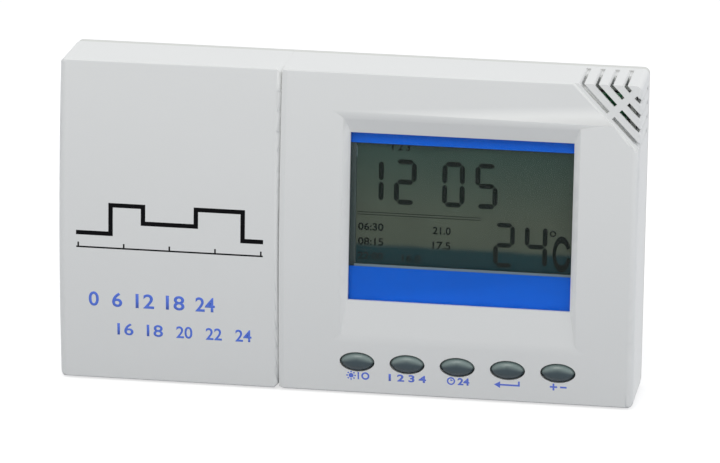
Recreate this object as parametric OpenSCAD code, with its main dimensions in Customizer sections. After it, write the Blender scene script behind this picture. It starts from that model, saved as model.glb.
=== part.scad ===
// Wall thermostat with a battery door on the left and a display cover on the right.
// Millimetres. X to the right, Z up, the wall at y = 0 and the front towards -Y.
// The origin is the centre of the wall plate's back face.

/* [Case] */
// Overall width
case_w = 141; // [136:1:156]
// Overall height
case_h = 80; // [80:1:92]
// Depth from the wall to the upper and lower front edges
case_d = 21.2; // [21.2:0.1:25]
// Bulge of the front past those edges
crown = 2.5; // [2.4:0.1:3.5]
// Wall of the door and of the cover
wall = 2; // [1.8:0.1:2.2]
// Radius of the four corners, seen from the front
corner_r = 1.5; // [1:0.1:2.5]
// Radius of the two upright front edges
side_r = 1.8; // [1:0.1:1.9]
// Chamfer of the upper and lower front edges
edge_c = 0.3; // [0.3:0.1:1]
// Running clearance between neighbouring pieces
gap = 0.25; // [0.2:0.05:0.3]

/* [Door and seam] */
// Width of the battery door
door_w = 54.05; // [53:0.05:58]
// Gap between the door and the cover
seam = 0.3; // [0.2:0.05:0.5]
// Radius of the door's edge at the seam
door_edge_r = 1; // [0.5:0.1:1.5]
// Width of the cover's bevel at the seam
seam_bevel_w = 1.3; // [0.8:0.1:1.8]
// Depth of that bevel
seam_bevel_d = 0.4; // [0.2:0.1:0.8]
// How far the seam's groove runs back over the top and the bottom
groove_len = 4.5; // [3:0.5:8]
// Reach of the cover's lip under the door
lip_reach = 1.6; // [1:0.1:2]
// Thickness of that lip
lip_t = 0.8; // [0.6:0.1:1]
// Width of the door's two guide ribs
guide_w = 1; // [0.8:0.1:1.4]
// Height of the guide ribs
guide_h = 0.7; // [0.5:0.1:0.8]

/* [Display window] */
// Width of the cover left of the window
window_left = 16.8; // [16:0.1:18]
// Width of the cover right of the window
window_right = 15.8; // [15:0.1:17]
// Height of the cover above the window
window_above = 14.8; // [14.5:0.1:17]
// Height of the cover below the window
window_below = 23.7; // [23:0.1:25]
// Depth of the window's centre behind the crest of the front
lens_sink = 2.3; // [2.2:0.1:2.4]
// Angle by which the window leans back
lens_tilt = 2; // [1:0.1:2.2]
// Width of the recess's side bevels
side_bevel = 1.65; // [1:0.05:2.5]
// Height of the recess's upper bevel
top_bevel = 4.6; // [3:0.1:5]
// Height of the ramp's foot above the middle of the keys
ramp_foot = 5.9; // [5:0.1:8]
// Thickness of the window's seat in the cover
seat_t = 0.8; // [0.7:0.1:0.9]
// Width of the lens's flange behind the seat
flange_w = 1.8; // [1.2:0.1:2.2]
// Thickness of the lens's flange
flange_t = 0.7; // [0.5:0.1:0.8]
// Height of the upper printed band
band_top = 2.75; // [1:0.05:4]
// Height of the lower printed band
band_low = 8.15; // [6:0.05:10]
// Thickness of the printed film
film_t = 0.1; // [0.05:0.01:0.12]

/* [Display] */
// How far the display's frame lies behind the case's front edges
display_sink = 2.4; // [2.4:0.1:3]
// How far the glass starts inside the window's left edge
glass_left = 0.4; // [0:0.1:1]
// How far the glass runs past the window's right edge
glass_right = 2.4; // [0:0.1:3]
// Height of the glass's foot above the window's lower edge
glass_up = 8.3; // [7:0.1:9]
// How far the glass runs past the window's upper edge
glass_over = 2.8; // [0:0.1:2.8]
// Thickness of the display glass
glass_t = 2.8; // [2:0.1:2.8]
// Height of the zebra strips under the glass
zebra_h = 2.3; // [1.8:0.1:2.3]
// Wall of the display's frame
frame_t = 1.2; // [0.8:0.1:1.2]
// Lip of the frame over the edge of the glass
frame_lip = 0.8; // [0.4:0.1:1.2]
// Thickness of that lip
frame_lip_t = 0.5; // [0.3:0.1:0.5]

/* [Keys] */
// Distance of the outer keys' middles from the window's sides
key_end = 2.5; // [1.5:0.1:4]
// Gap between the flanges of two keys
key_flange_gap = 1.9; // [1.5:0.1:2.5]
// Width of a key hole
key_hole_w = 8.6; // [7:0.1:9]
// Height of a key hole
key_hole_h = 5; // [4:0.1:5.4]
// Height of the keys' middles above the lower edge
key_up = 8.1; // [8:0.1:9]
// Clearance of a key in its hole
key_clear = 0.25; // [0.15:0.05:0.3]
// Height of a key's crest above the front
key_proud = 0.8; // [0.2:0.1:1]
// Rise of a key's dome
key_dome = 1.6; // [0.8:0.1:1.8]
// Travel of a key
key_travel = 0.6; // [0.3:0.1:0.7]
// Thickness of a key's flange
key_flange_t = 0.8; // [0.6:0.1:1]

/* [Vent] */
// Number of vent slots
slot_count = 4; // [3:1:4]
// Width of a vent slot
slot_w = 0.9; // [0.6:0.1:1.1]
// Pitch of the slots, square to them
slot_pitch = 2.45; // [2.2:0.05:2.6]
// Distance from the case's corner to the first slot, square to it
slot_first = 2.9; // [2.5:0.1:3.2]
// Width of the rib that crosses the slots on the front
slot_rib = 1.7; // [1.2:0.1:2.5]
// Depth of the slots over the top and the side
slot_run = 12.2; // [10:0.1:14]
// Length of the blind run-out behind them
slot_runout = 4; // [2:0.5:5]
// Depth of the sunk field around the slots on the front
vent_sink = 0.6; // [0.3:0.1:0.8]
// Thickness of the front between the slots
vent_front_t = 0.7; // [0.6:0.1:0.9]
// Thickness of the top and of the side between the slots
vent_side_t = 0.45; // [0.4:0.05:0.8]

/* [Wall plate] */
// Thickness of the wall plate
plate_t = 2.5; // [2.2:0.1:3]
// Inset of the plate's edge from the case
plate_inset = 0.1; // [0:0.1:1]
// Spacing of the wall screws
screw_spacing = 60; // [60:0.5:62]
// Height of the wall screws above the case's centre
screw_z = 14; // [13:0.5:15]
// Width of the screw slots
screw_slot_w = 4.2; // [3.6:0.1:4.6]
// Length of the screw slots
screw_slot_len = 8; // [7:0.5:9]
// Diameter of the wall screws' heads
screw_head_w = 7; // [6:0.1:7.4]
// Depth of the pocket for the screw heads
screw_pocket = 1.2; // [0.8:0.1:1.4]
// Width of the cable opening
cable_w = 12; // [10:0.5:12]
// Height of the cable opening
cable_h = 11; // [9:0.5:11]
// Width of the snap lugs
lug_w = 8; // [5:0.5:10]
// Reach of the snap lugs
lug_reach = 4; // [3:0.5:5]

/* [Back case and boards] */
// Thickness of the back case's floor
floor_t = 1.6; // [1.4:0.1:1.8]
// Thickness of the rim
rim_t = 1.5; // [1.3:0.1:1.6]
// Height of the rim above the floor
rim_h = 6; // [5:0.5:6.5]
// Thickness of the boards
board_t = 1.6; // [1.2:0.1:1.6]
// Radius of the cover's screw bosses
boss_r = 3; // [2.6:0.1:3]
// Radius of the case screws
case_screw_r = 0.9; // [0.8:0.05:1]
// Radius of the board screws
board_screw_r = 0.85; // [0.7:0.05:0.9]

/* [Cells] */
// Diameter of an AA cell
cell_d = 14.5; // [14:0.1:14.5]
// Length of an AA cell
cell_len = 50.5; // [49.5:0.1:50.5]
// Length of a pressed battery spring
spring_len = 5; // [4:0.1:6]
// Radius of the spring wire
spring_wire_r = 0.35; // [0.25:0.05:0.4]
// Thickness of the battery contacts
contact_t = 0.4; // [0.3:0.05:0.5]

/* [Terminals and switches] */
// Number of wiring terminals
pole_count = 4; // [2:1:4]
// Pitch of the terminals
pole_pitch = 5.08; // [5:0.01:5.08]
// Width of the screw part of the terminal block
block_w = 8.6; // [8:0.1:9]
// Travel of the selector's knob
selector_travel = 4; // [2:0.5:4]
// Travel of the reset button
reset_travel = 0.6; // [0.3:0.1:0.7]

/* [Hidden] */
key_count = 5;

$fn = 48;
arc_fn = 1440;    // facets of a full turn of the front's large radius
over = 1;         // how far a cutter runs past the face it cuts
half_w = case_w / 2;
half_h = case_h / 2;
crown_r = (half_h * half_h + crown * crown) / (2 * crown);
crest_d = case_d + crown;
axis_y = crown_r - crest_d;    // axis of the front's large radius

// Depth stack, as distances from the wall
rear_d = plate_t + gap;
floor_d = rear_d + floor_t;
rim_d = floor_d + rim_h;
groove_d = floor_d + 2.65;    // middle of the door's guide grooves
frame_d = case_d - display_sink;
glass_d = frame_d - frame_lip_t;
glass_back_d = glass_d - glass_t;
board_d = glass_back_d - zebra_h;
board_back_d = board_d - board_t;

// Layout across the case
door_x = door_w - half_w;
cover_x = door_x + seam;
rim_w = half_w - wall - gap;
rim_half_h = half_h - wall - gap;
inner_w = rim_w - rim_t;
inner_h = rim_half_h - rim_t;

// Window and display
window_w = half_w - window_right - cover_x - window_left;
window_x = half_w - window_right - window_w / 2;
window_low = window_below - half_h;
window_high = half_h - window_above;
window_z = (window_low + window_high) / 2;
window_h = (window_high - window_low) / cos(lens_tilt);
lens_d = crest_d - lens_sink;
lens_fit = 0.1;
glass_w = window_w + glass_right - glass_left;
glass_h = window_high - window_low + glass_over - glass_up;
glass_x = window_x + (glass_left + glass_right) / 2;
glass_z = window_z + (glass_up + glass_over) / 2;

// Vent
run_d = case_d - slot_run;
closed_slot_d = case_d - wall - vent_sink - 0.4;    // front end of the slot that is closed on the front
closed_floor_d = closed_slot_d + 1.5;               // floor of its groove on the front
closed_floor_t = 0.9;

// Keys
key_z = key_up - half_h;
key_pitch = (window_w - 2 * key_end) / (key_count - 1);
ramp_len = window_low - key_z - ramp_foot;
key_face_d = front_d(key_z);
key_w = key_hole_w - 2 * key_clear;
key_h = key_hole_h - 2 * key_clear;
key_crest_d = key_face_d + key_proud;
key_flange_edge = 1.25;
key_flange_w = key_pitch - key_flange_gap;
key_flange_d = front_d(key_z - key_h / 2 - key_flange_edge) - wall - gap;
key_stem_r = 1.5;
tact_size = 6;
tact_h = 3.5;
tact_d = board_d + tact_h;
plunger_r = 1.5;
plunger_top_d = key_flange_d - key_flange_t - 0.75;
plunger_root = 0.8;

// Screws and bosses
boss_z = inner_h - 0.4 - boss_r;
boss_left_x = cover_x + wall + 1.65 + boss_r;
boss_top_x = window_x + window_w / 2 - 9.2;
boss_right_x = inner_w - 0.4 - boss_r;
boss_foot_d = floor_d + 1.65;
boss_places = [[boss_left_x, boss_z], [boss_top_x, boss_z],
    [boss_left_x, -boss_z], [boss_right_x, -boss_z]];
case_screw_bite = 7;
case_head_r = 2.3;
case_head_h = 1.7;
case_head_sink = 2.1;
post_r = 2.6;
post_z = 20;
board_screw_bite = 5;
board_head_r = 2.2;
board_head_h = 1.5;
post_right_x = inner_w - 3.25;
post_places = [for (x = [boss_left_x, post_right_x], z = [-post_z, post_z]) [x, z]];

// Main board
board_left = cover_x + wall + 1.15;
board_right = inner_w - 0.5;
board_half_h = inner_h - 0.3;
tongue_left = cover_x - 5.85;

// Parts on the main board
chip_size = 12;
chip_t = 1.5;
chip_leg = 0.4;
chip_legs = 10;
chip_x = glass_x - chip_size / 2;
chip_z = glass_z - 8;
crystal_r = 1;
crystal_len = 6;
board_cap_r = 2;
board_cap_h = board_back_d - floor_d - 1.85;
board_cap_inset = 23.2;
bead_r = 1.2;
bead_wire_r = 0.25;

// Cells and their bay
cell_r = cell_d / 2;
bay_fit = 0.4;
cell_gap = 0.7;
cell_left_x = -inner_w + bay_fit + cell_r;
cell_right_x = cell_left_x + cell_d + cell_gap;
bay_right = cell_right_x + cell_r + bay_fit;
bay_wall = 1.2;
bay_half = (cell_len + spring_len + 2 * contact_t + 0.3) / 2;
cell_axis_d = floor_d + 0.3 + cell_r;
bay_wall_d = cell_axis_d + 4;
contact_w = 10;

// Strip between the cells and the cover
strip_left = bay_right + bay_wall;
strip_mid = (strip_left + tongue_left) / 2;
cable_x = strip_left + 0.5 + cable_w / 2;
block_low = -inner_h + 0.3;
block_high = block_low + pole_count * pole_pitch;
cable_z = block_high + 3.6 + cable_h / 2;
block_d = board_back_d - 0.4;
block_left = cover_x - 13.4;
block_right = cover_x - 1.7;
pole_x = block_left + block_w / 2;
pole_foot_d = plate_t + 0.8;
pole_half_w = 1.9;
pole_half_h = 1.7;
pole_head_r = 1.8;
pole_head_h = 1.5;
pole_screw_r = 1.05;
cage_t = 0.6;
wire_w = 3.4;
pin_x = tongue_left + 2.5;
pin_w = 0.6;
pin_h = 1.2;
pin_fit = 0.3;
relay_board_low = cable_z + cable_h / 2 + 3;
relay_board_high = board_half_h;
tongue_top = relay_board_low + 10;
relay_board_left = strip_left + 0.7;
relay_board_right = cover_x - 1.85;
relay_board_d = floor_d + 1.05 + board_t;
relay_w = 14.6;
relay_h = 10;
relay_cap_r = 3.15;
relay_cap_h = 9;
relay_cap_z = relay_board_low + 6.6;
lug_inset = 16.5;
lug_x = half_w - lug_inset;
lug_z = inner_h - 1.6;
lug_t = 1.6;

// Selector and reset
selector_w = 4.6;
selector_len = 10;
selector_d = board_d + 4;
selector_x = tongue_left + 2.5;
selector_low = relay_board_low - 10.5;
knob_w = 2.2;
knob_len = 3.4;
knob_d = selector_d + 2;
knob_low = selector_low + 1.3;
reset_z = selector_low - 5.5;
reset_size = 4.6;
reset_r = 1.2;

white = "#e2e3df";
plate_white = "#d9dad6";
key_grey = "#6f7a78";
board_green = "#2f6b4a";
steel = "#b9bcc0";
tin = "#c9ccd0";
black = "#232527";

// ---------- Functions and shared shapes ----------

// Distance from the wall to the front at height z, and the same on an inner skin
function front_d(z) = skin_d(z, 0);
function skin_d(z, inset) = sqrt(pow(crown_r - inset, 2) - z * z) - axis_y;
function oval(w, h, n = 40) = [for (i = [0 : n - 1]) [w / 2 * cos(360 * i / n), h / 2 * sin(360 * i / n)]];
function pole_z(i) = block_low + (i + 0.5) * pole_pitch;
function key_x(i) = window_x + (i - (key_count - 1) / 2) * key_pitch;

// A block between two distances from the wall
module slab(x0, x1, z0, z1, d0, d1) {
    translate([x0, -d1, z0]) cube([x1 - x0, d1 - d0, z1 - z0]);
}

// A round bar square to the wall
module bar(x, z, d0, d1, r) {
    translate([x, -d0, z]) rotate([90, 0, 0]) cylinder(h = d1 - d0, r = r);
}

// A flat (x, z) outline pushed out from the wall
module out_from_wall(d0, d1) {
    translate([0, -d0, 0]) rotate([90, 0, 0]) linear_extrude(d1 - d0) children();
}

// A flat (y, z) outline pushed along the case
module along_case(x0, x1) {
    translate([x0, 0, 0]) rotate([90, 0, 90]) linear_extrude(x1 - x0) children();
}

module rounded_rect(x0, x1, z0, z1, r) {
    translate([x0 + r, z0]) square([x1 - x0 - 2 * r, z1 - z0]);
    translate([x0, z0 + r]) square([x1 - x0, z1 - z0 - 2 * r]);
    for (x = [x0 + r, x1 - r], z = [z0 + r, z1 - r]) translate([x, z]) circle(r);
}

// A slot with round ends along X
module oblong(x, z, length, r, d0, d1) {
    reach = length / 2 - r;
    slab(x - reach, x + reach, z - r, z + r, d0, d1);
    for (side = [-1, 1]) bar(x + side * reach, z, d0, d1, r);
}

// The bulging block that the shells are cut from, turned about the front's axis
module bulge(x0, x1, r0, r1) {
    back = crown_r - half_h;
    sweep = asin((half_h + 4) / back);
    translate([0, axis_y, 0]) rotate([0, 90, 0]) rotate([0, 0, -90 - sweep])
        rotate_extrude(angle = 2 * sweep, $fn = arc_fn) {
            translate([back, x0]) square([half_h - r0, (x1 - x0) / 2]);
            translate([back, (x0 + x1) / 2]) square([half_h - r1, (x1 - x0) / 2]);
            translate([back, x0 + r0]) square([half_h, x1 - x0 - r0 - r1]);
            if (r0 > 0) translate([crown_r - r0, x0 + r0]) circle(r0, $fn = 48);
            if (r1 > 0) translate([crown_r - r1, x1 - r1]) circle(r1, $fn = 48);
        }
}

// Everything within an inset of the outer faces, from the rear edge to the front
module inside(x0, x1, inset, d0) {
    intersection() {
        slab(x0, x1, -half_h + inset, half_h - inset, d0, crest_d + over);
        translate([x0, axis_y, 0]) rotate([0, 90, 0])
            cylinder(h = x1 - x0, r = crown_r - inset, $fn = arc_fn);
    }
}

// Chamfer along the upper and the lower front edge
module edge_chamfers(x0, x1) {
    front_y = -front_d(half_h - edge_c);
    run_y = -case_d + edge_c - front_y;
    for (side = [-1, 1]) along_case(x0 - over, x1 + over)
        polygon([[front_y - 2 * run_y, side * (half_h - 3 * edge_c)],
            [front_y - 2 * run_y, side * (half_h + 2 * edge_c)],
            [front_y + 3 * run_y, side * (half_h + 2 * edge_c)]]);
}

module outline(d0) {
    out_from_wall(d0, crest_d + over) rounded_rect(-half_w, half_w, -half_h, half_h, corner_r);
}

// Places its children in the plane of the window: X across, Y up the window, Z outwards
module on_window() {
    translate([window_x, -lens_d, window_z]) rotate([90 - lens_tilt, 0, 0]) children();
}

module window_block(grow, w0, w1) {
    on_window() translate([-window_w / 2 - grow, -window_h / 2 - grow, w0])
        cube([window_w + 2 * grow, window_h + 2 * grow, w1 - w0]);
}

// ---------- Wall plate and wiring ----------

module screw_slots(length, r, d0, d1) {
    for (side = [-1, 1]) oblong(side * screw_spacing / 2, screw_z, length, r, d0, d1);
}

module cable_cut(grow, d0, d1) {
    slab(cable_x - cable_w / 2 - grow, cable_x + cable_w / 2 + grow,
        cable_z - cable_h / 2 - grow, cable_z + cable_h / 2 + grow, d0, d1);
}

module lugs(grow, d1) {
    for (x = [-lug_x, lug_x], z = [-lug_z, lug_z])
        slab(x - lug_w / 2 - grow, x + lug_w / 2 + grow, z - lug_t / 2 - grow, z + lug_t / 2 + grow,
            plate_t - (grow > 0 ? over : 0), d1);
}

module wall_plate() {
    head_r = screw_head_w / 2 + 0.2;
    color(plate_white) {
        difference() {
            out_from_wall(0, plate_t)
                rounded_rect(-half_w + plate_inset, half_w - plate_inset,
                    -half_h + plate_inset, half_h - plate_inset, corner_r);
            screw_slots(screw_slot_len, screw_slot_w / 2, -over, plate_t + over);
            screw_slots(screw_slot_len - screw_slot_w + 2 * head_r, head_r,
                plate_t - screw_pocket, plate_t + over);
            cable_cut(0, -over, plate_t + over);
        }
        lugs(0, plate_t + lug_reach);
    }
}

module terminal_block() {
    cage = pole_half_w + 0.2;
    color("#4d8f5e") difference() {
        slab(block_left, block_right, block_low, block_high, plate_t, block_d);
        for (i = [0 : pole_count - 1]) {
            bar(pole_x, pole_z(i), block_d - pole_head_h - 1.5, block_d + over, pole_head_r + 0.3);
            slab(pole_x - cage, pole_x + cage, pole_z(i) - pole_half_h - 0.2, pole_z(i) + pole_half_h + 0.2,
                pole_foot_d, block_d - pole_head_h - 1);
            slab(block_left - over, pole_x - cage + over, pole_z(i) - wire_w / 2, pole_z(i) + wire_w / 2,
                pole_foot_d + 0.4, pole_foot_d + 0.4 + wire_w);
            slab(pin_x - pin_w / 2 - pin_fit, pin_x + pin_w / 2 + pin_fit,
                pole_z(i) - pin_h / 2 - pin_fit, pole_z(i) + pin_h / 2 + pin_fit,
                pole_foot_d, block_d + over);
        }
    }
}

// The cages that the terminal screws pull up on the wires
module terminal_clamps() {
    cage_top = block_d - pole_head_h - 1.2;
    color(tin) for (i = [0 : pole_count - 1]) difference() {
        slab(pole_x - pole_half_w, pole_x + pole_half_w,
            pole_z(i) - pole_half_h, pole_z(i) + pole_half_h, pole_foot_d, cage_top);
        slab(pole_x - pole_half_w - over, pole_x + pole_half_w + over,
            pole_z(i) - pole_half_h + cage_t, pole_z(i) + pole_half_h - cage_t,
            pole_foot_d + cage_t, cage_top - 1.5 * cage_t);
        bar(pole_x, pole_z(i), cage_top - 3 * cage_t, cage_top + over, pole_screw_r + 0.1);
    }
}

module terminal_screws() {
    head_d = block_d - pole_head_h - 0.95;
    color(steel) for (i = [0 : pole_count - 1]) difference() {
        union() {
            bar(pole_x, pole_z(i), head_d, head_d + pole_head_h, pole_head_r);
            bar(pole_x, pole_z(i), pole_foot_d + 1.6, head_d + pole_head_h / 2, pole_screw_r);
        }
        slab(pole_x - pole_head_r - over, pole_x + pole_head_r + over,
            pole_z(i) - 0.25, pole_z(i) + 0.25, head_d + 0.6 * pole_head_h, block_d);
    }
}

// ---------- Shells ----------

module boss_screw_holes(r, d0, d1) {
    for (p = boss_places) bar(p[0], p[1], d0, d1, r);
}

// Battery bay: two end walls, one side wall and two cradles under the cells
module battery_bay() {
    for (side = [-1, 1]) {
        z0 = side > 0 ? bay_half : -bay_half - bay_wall;
        slab(-inner_w, strip_left, z0, z0 + bay_wall, floor_d, bay_wall_d);
    }
    slab(bay_right, strip_left, -bay_half, bay_half, floor_d, bay_wall_d);
    difference() {
        for (z = [-bay_half / 2, bay_half / 2])
            slab(-inner_w, bay_right, z - 0.75, z + 0.75, floor_d, cell_axis_d - 3);
        for (x = [cell_left_x, cell_right_x])
            translate([x, -cell_axis_d, -bay_half]) cylinder(h = 2 * bay_half, r = cell_r + 0.15);
    }
}

module back_case() {
    pocket_r = screw_head_w / 2 + 0.4;
    color(plate_white) difference() {
        union() {
            difference() {
                slab(-rim_w, rim_w, -rim_half_h, rim_half_h, rear_d, rim_d);
                slab(-inner_w, inner_w, -inner_h, inner_h, floor_d, rim_d + over);
            }
            battery_bay();
            for (p = post_places) bar(p[0], p[1], floor_d, board_back_d, post_r);
            for (p = boss_places) bar(p[0], p[1], floor_d, boss_foot_d, boss_r + 0.6);
            for (p = relay_pegs()) {
                bar(p[0], p[1], floor_d, relay_board_d - board_t, 1.6);
                bar(p[0], p[1], floor_d, relay_board_d + 0.6, 0.7);
            }
        }
        guide_grooves();
        for (p = post_places)
            bar(p[0], p[1], board_back_d - board_screw_bite - 1, board_back_d + over, board_screw_r + 0.05);
        boss_screw_holes(case_screw_r + 0.3, rear_d - over, boss_foot_d + over);
        boss_screw_holes(case_head_r + 0.3, rear_d - over, rear_d + case_head_sink);
        screw_slots(screw_slot_len - screw_slot_w + 2 * pocket_r, pocket_r, rear_d - over, rear_d + 1);
        lugs(gap, rim_d + over);
        cable_cut(0.3, rear_d - over, floor_d + over);
        slab(block_left - 5, block_right + 0.4, block_low - 0.3, cable_z, rear_d - over, floor_d + over);
    }
}

// Grooves in the rim that the door's guide ribs run in
module guide_grooves() {
    for (side = [-1, 1]) {
        z0 = side > 0 ? rim_half_h - guide_h - gap : -rim_half_h - over;
        slab(-rim_w - over, cover_x - lip_reach, z0, z0 + guide_h + gap + over,
            groove_d - guide_w / 2 - gap, groove_d + guide_w / 2 + gap);
    }
}

module battery_door() {
    color(white) {
        difference() {
            intersection() {
                bulge(-half_w, door_x, side_r, door_edge_r);
                outline(rear_d);
            }
            inside(-half_w + wall, door_x + over, wall, rear_d - over);
            edge_chamfers(-half_w, door_x);
            seam_notches(door_x, -1, door_edge_r);
        }
        for (side = [-1, 1]) {
            z0 = side > 0 ? half_h - wall - guide_h - gap : -half_h + wall - 0.1;
            slab(-half_w + wall - 0.1, door_x - 2, z0, z0 + guide_h + gap + 0.1,
                groove_d - guide_w / 2, groove_d + guide_w / 2);
        }
    }
}

// Bevel at an edge of the seam, on the top and on the bottom, over the groove's length
module seam_notches(x, side, w) {
    depth = side > 0 ? seam_bevel_d : w;
    for (up = [-1, 1]) out_from_wall(case_d - groove_len, crest_d + over)
        polygon([[x + 2 * side * w, up * (half_h + depth)], [x - side * w, up * (half_h + depth)],
            [x - side * w, up * (half_h - 2 * depth)]]);
}

// Distance of a slot from the case's corner, square to the slot
function slot_dist(i) = slot_first + i * slot_pitch;

// A 45 degree frame at the case's upper right corner: X runs down the slots, Y towards the corner
module at_corner(d) {
    translate([half_w, -d, half_h]) rotate([90, 0, 0]) rotate([0, 0, -45]) children();
}

// One slot from a given distance off the wall to the front, with the crossing rib left standing
module slot_prism(i, d0, d1, rib) {
    leg = slot_dist(i) + slot_w;
    for (side = [0, 1]) at_corner(d0) mirror([side, 0, 0])
        translate([rib / 2, -slot_dist(i) - slot_w / 2, 0]) cube([leg - rib / 2, slot_w, d1 - d0]);
}

// The sunk field that the slots lie in
module vent_field() {
    reach = slot_dist(slot_count - 1) + slot_pitch / 2;
    leg = reach * sqrt(2);
    difference() {
        slab(half_w - 1.3 * leg, half_w + over, half_h - 1.3 * leg, half_h + over,
            case_d - vent_sink - over, crest_d + over);
        at_corner(0) translate([-3 * leg, -4 * leg, -over]) cube([6 * leg, 4 * leg - reach, crest_d + 3]);
        translate([half_w - 2 * leg, axis_y, 0]) rotate([0, 90, 0])
            cylinder(h = 3 * leg, r = crown_r - vent_sink, $fn = arc_fn);
    }
}

// Everything but the skin of a given thickness inside the outer faces
module skin_keep(skin) {
    inside(0, half_w - skin, skin, -over);
}

module vent() {
    last = slot_count - 1;
    vent_field();
    for (i = [0 : last - 1]) slot_prism(i, run_d, crest_d + over, slot_rib);
    // The slot furthest from the corner is closed on the front and open on the two sides
    slot_prism(last, run_d, closed_slot_d, slot_rib);
    slot_prism(last, closed_floor_d, crest_d + over, slot_rib);
    difference() {
        slot_prism(last, run_d, crest_d + over, slot_rib);
        skin_keep(vent_sink + 0.6);
    }
    // Shallow run-outs behind the open slots
    difference() {
        for (i = [0 : last]) slot_prism(i, run_d - slot_runout, run_d + over, slot_rib);
        skin_keep(0.5);
    }
}

// Rows of the recess, as [height, half width of its floor, depth of its floor, flare of its sides].
// The first and the last row lie past the face, where the ramp and the upper bevel run out.
recess_rows =
    let (half = window_w / 2, foot = window_low - ramp_len, top = window_high + top_bevel, past = 0.16,
        low_d = floor_at(window_low), high_d = floor_at(window_high))
    concat([[foot - past * ramp_len, half + (1 + past) * side_bevel,
            front_d(foot) + past * (front_d(foot) - low_d), side_bevel / (front_d(window_low) - low_d)]],
        [for (i = [0 : 8]) let (z = window_low + i * (window_high - window_low) / 8, d = floor_at(z))
            [z, half, d, side_bevel / (front_d(z) - d)]],
        [[top + past * top_bevel, half + (1 + past) * side_bevel,
            front_d(top) + past * (front_d(top) - high_d), side_bevel / (front_d(window_high) - high_d)]]);

function floor_at(z) = lens_d - (z - window_z) * tan(lens_tilt);

// Outline of the recess across one row
function recess_row(row) =
    let (z = row[0], inner = row[1], past_d = crest_d + over, outer = inner + row[3] * (past_d - row[2]))
    [[-inner, -row[2], z], [-outer, -past_d, z], [outer, -past_d, z], [inner, -row[2], z]];

// Recess around the window: side bevels, an upper bevel and a ramp below
module recess() {
    rows = len(recess_rows);
    points = [for (row = recess_rows) each recess_row(row)];
    skin = [for (i = [0 : rows - 2], k = [0 : 3]) each
        [[i * 4 + k, (i + 1) * 4 + k, i * 4 + (k + 1) % 4],
            [i * 4 + (k + 1) % 4, (i + 1) * 4 + k, (i + 1) * 4 + (k + 1) % 4]]];
    ends = [[0, 1, 2, 3], [for (k = [1 : 4]) rows * 4 - k]];
    translate([window_x, 0, 0]) polyhedron(points, concat(skin, ends));
}

module key_holes() {
    for (i = [0 : key_count - 1]) out_from_wall(board_d, crest_d + over)
        translate([key_x(i), key_z]) polygon(oval(key_hole_w, key_hole_h));
}

// Lip of the cover under the door's edge
module seam_lip() {
    difference() {
        inside(cover_x - lip_reach, cover_x + wall, wall + gap, rim_d + gap);
        inside(cover_x - lip_reach - over, cover_x + wall + over, wall + gap + lip_t, rim_d - over);
    }
}

module front_cover() {
    color(white) difference() {
        union() {
            difference() {
                intersection() {
                    bulge(cover_x, half_w, 0, side_r);
                    outline(rear_d);
                }
                inside(cover_x + wall, half_w - wall, wall, rear_d - over);
                slab(cover_x - over, cover_x + wall + over, -half_h + wall, half_h - wall,
                    rear_d - over, board_d + 0.4);
                edge_chamfers(cover_x, half_w);
                seam_notches(cover_x, 1, seam_bevel_w);
                seam_bevel();
            }
            seam_lip();
            groove_rib();
            intersection() {
                window_block(3.2, -seat_t, lens_sink + 1);
                inside(cover_x, half_w - wall, wall / 2, rear_d);
            }
            for (p = boss_places) bar(p[0], p[1], boss_foot_d, front_d(p[1]) - wall / 2, boss_r);
        }
        recess();
        window_block(0.03, -seat_t - over, over);
        window_block(flange_w + lens_fit, -seat_t - flange_t - over, -seat_t);
        boss_screw_holes(case_screw_r + 0.05, boss_foot_d - over, boss_foot_d + case_screw_bite + 1);
        key_holes();
        vent_hollow();
        vent();
    }
}

// Bevel of the cover's front at the seam
module seam_bevel() {
    sweep = asin(half_h / (crown_r - over)) + 1;
    translate([0, axis_y, 0]) rotate([0, 90, 0]) rotate([0, 0, -90 - sweep])
        rotate_extrude(angle = 2 * sweep, $fn = arc_fn)
            polygon([[crown_r - 2 * seam_bevel_d, cover_x - seam_bevel_w],
                [crown_r + seam_bevel_d, cover_x - seam_bevel_w],
                [crown_r + seam_bevel_d, cover_x + 2 * seam_bevel_w]]);
}

// Rib behind the groove of the slot that is closed on the front
module groove_rib() {
    reach = slot_dist(slot_count - 1) + slot_w / 2 + wall / 2;
    intersection() {
        at_corner(closed_floor_d - closed_floor_t) translate([-3 * reach, -reach, 0])
            cube([6 * reach, slot_w + wall, crest_d]);
        inside(cover_x, half_w - wall / 2, wall / 2, rear_d);
    }
}

// Hollow behind the open slots, where the walls are thinner
module vent_hollow() {
    last_dist = slot_dist(slot_count - 1);
    // Reach from the corner and distance from the wall, behind the front and behind the two sides
    parts = [[last_dist - slot_w / 2 - vent_front_t, crest_d], [last_dist + slot_w, closed_slot_d + 0.3]];
    for (part = parts) intersection() {
        slab(half_w - 3 * last_dist, half_w - vent_side_t, half_h - 3 * last_dist, half_h - vent_side_t,
            rim_d + gap, part[1]);
        translate([0, axis_y, 0]) rotate([0, 90, 0])
            cylinder(h = half_w, r = crown_r - vent_sink - vent_front_t, $fn = arc_fn);
        at_corner(0) translate([-3 * last_dist, -part[0], 0]) cube([6 * last_dist, part[0], crest_d]);
    }
}

// ---------- Window and display ----------

module window_lens() {
    color([0.8, 0.86, 0.9, 0.35]) {
        window_block(-lens_fit, -seat_t, 0);
        window_block(flange_w, -seat_t - flange_t, -seat_t);
    }
}

module window_mask() {
    back = -seat_t - flange_t;
    spread = window_w + 2 * flange_w - 2;
    color("#2a5cc4") on_window() {
        translate([-spread / 2, window_h / 2 - band_top, back - film_t])
            cube([spread, band_top + flange_w - 1, film_t]);
        translate([-spread / 2, -window_h / 2 - flange_w + 1, back - film_t])
            cube([spread, band_low + flange_w - 1, film_t]);
    }
}

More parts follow.
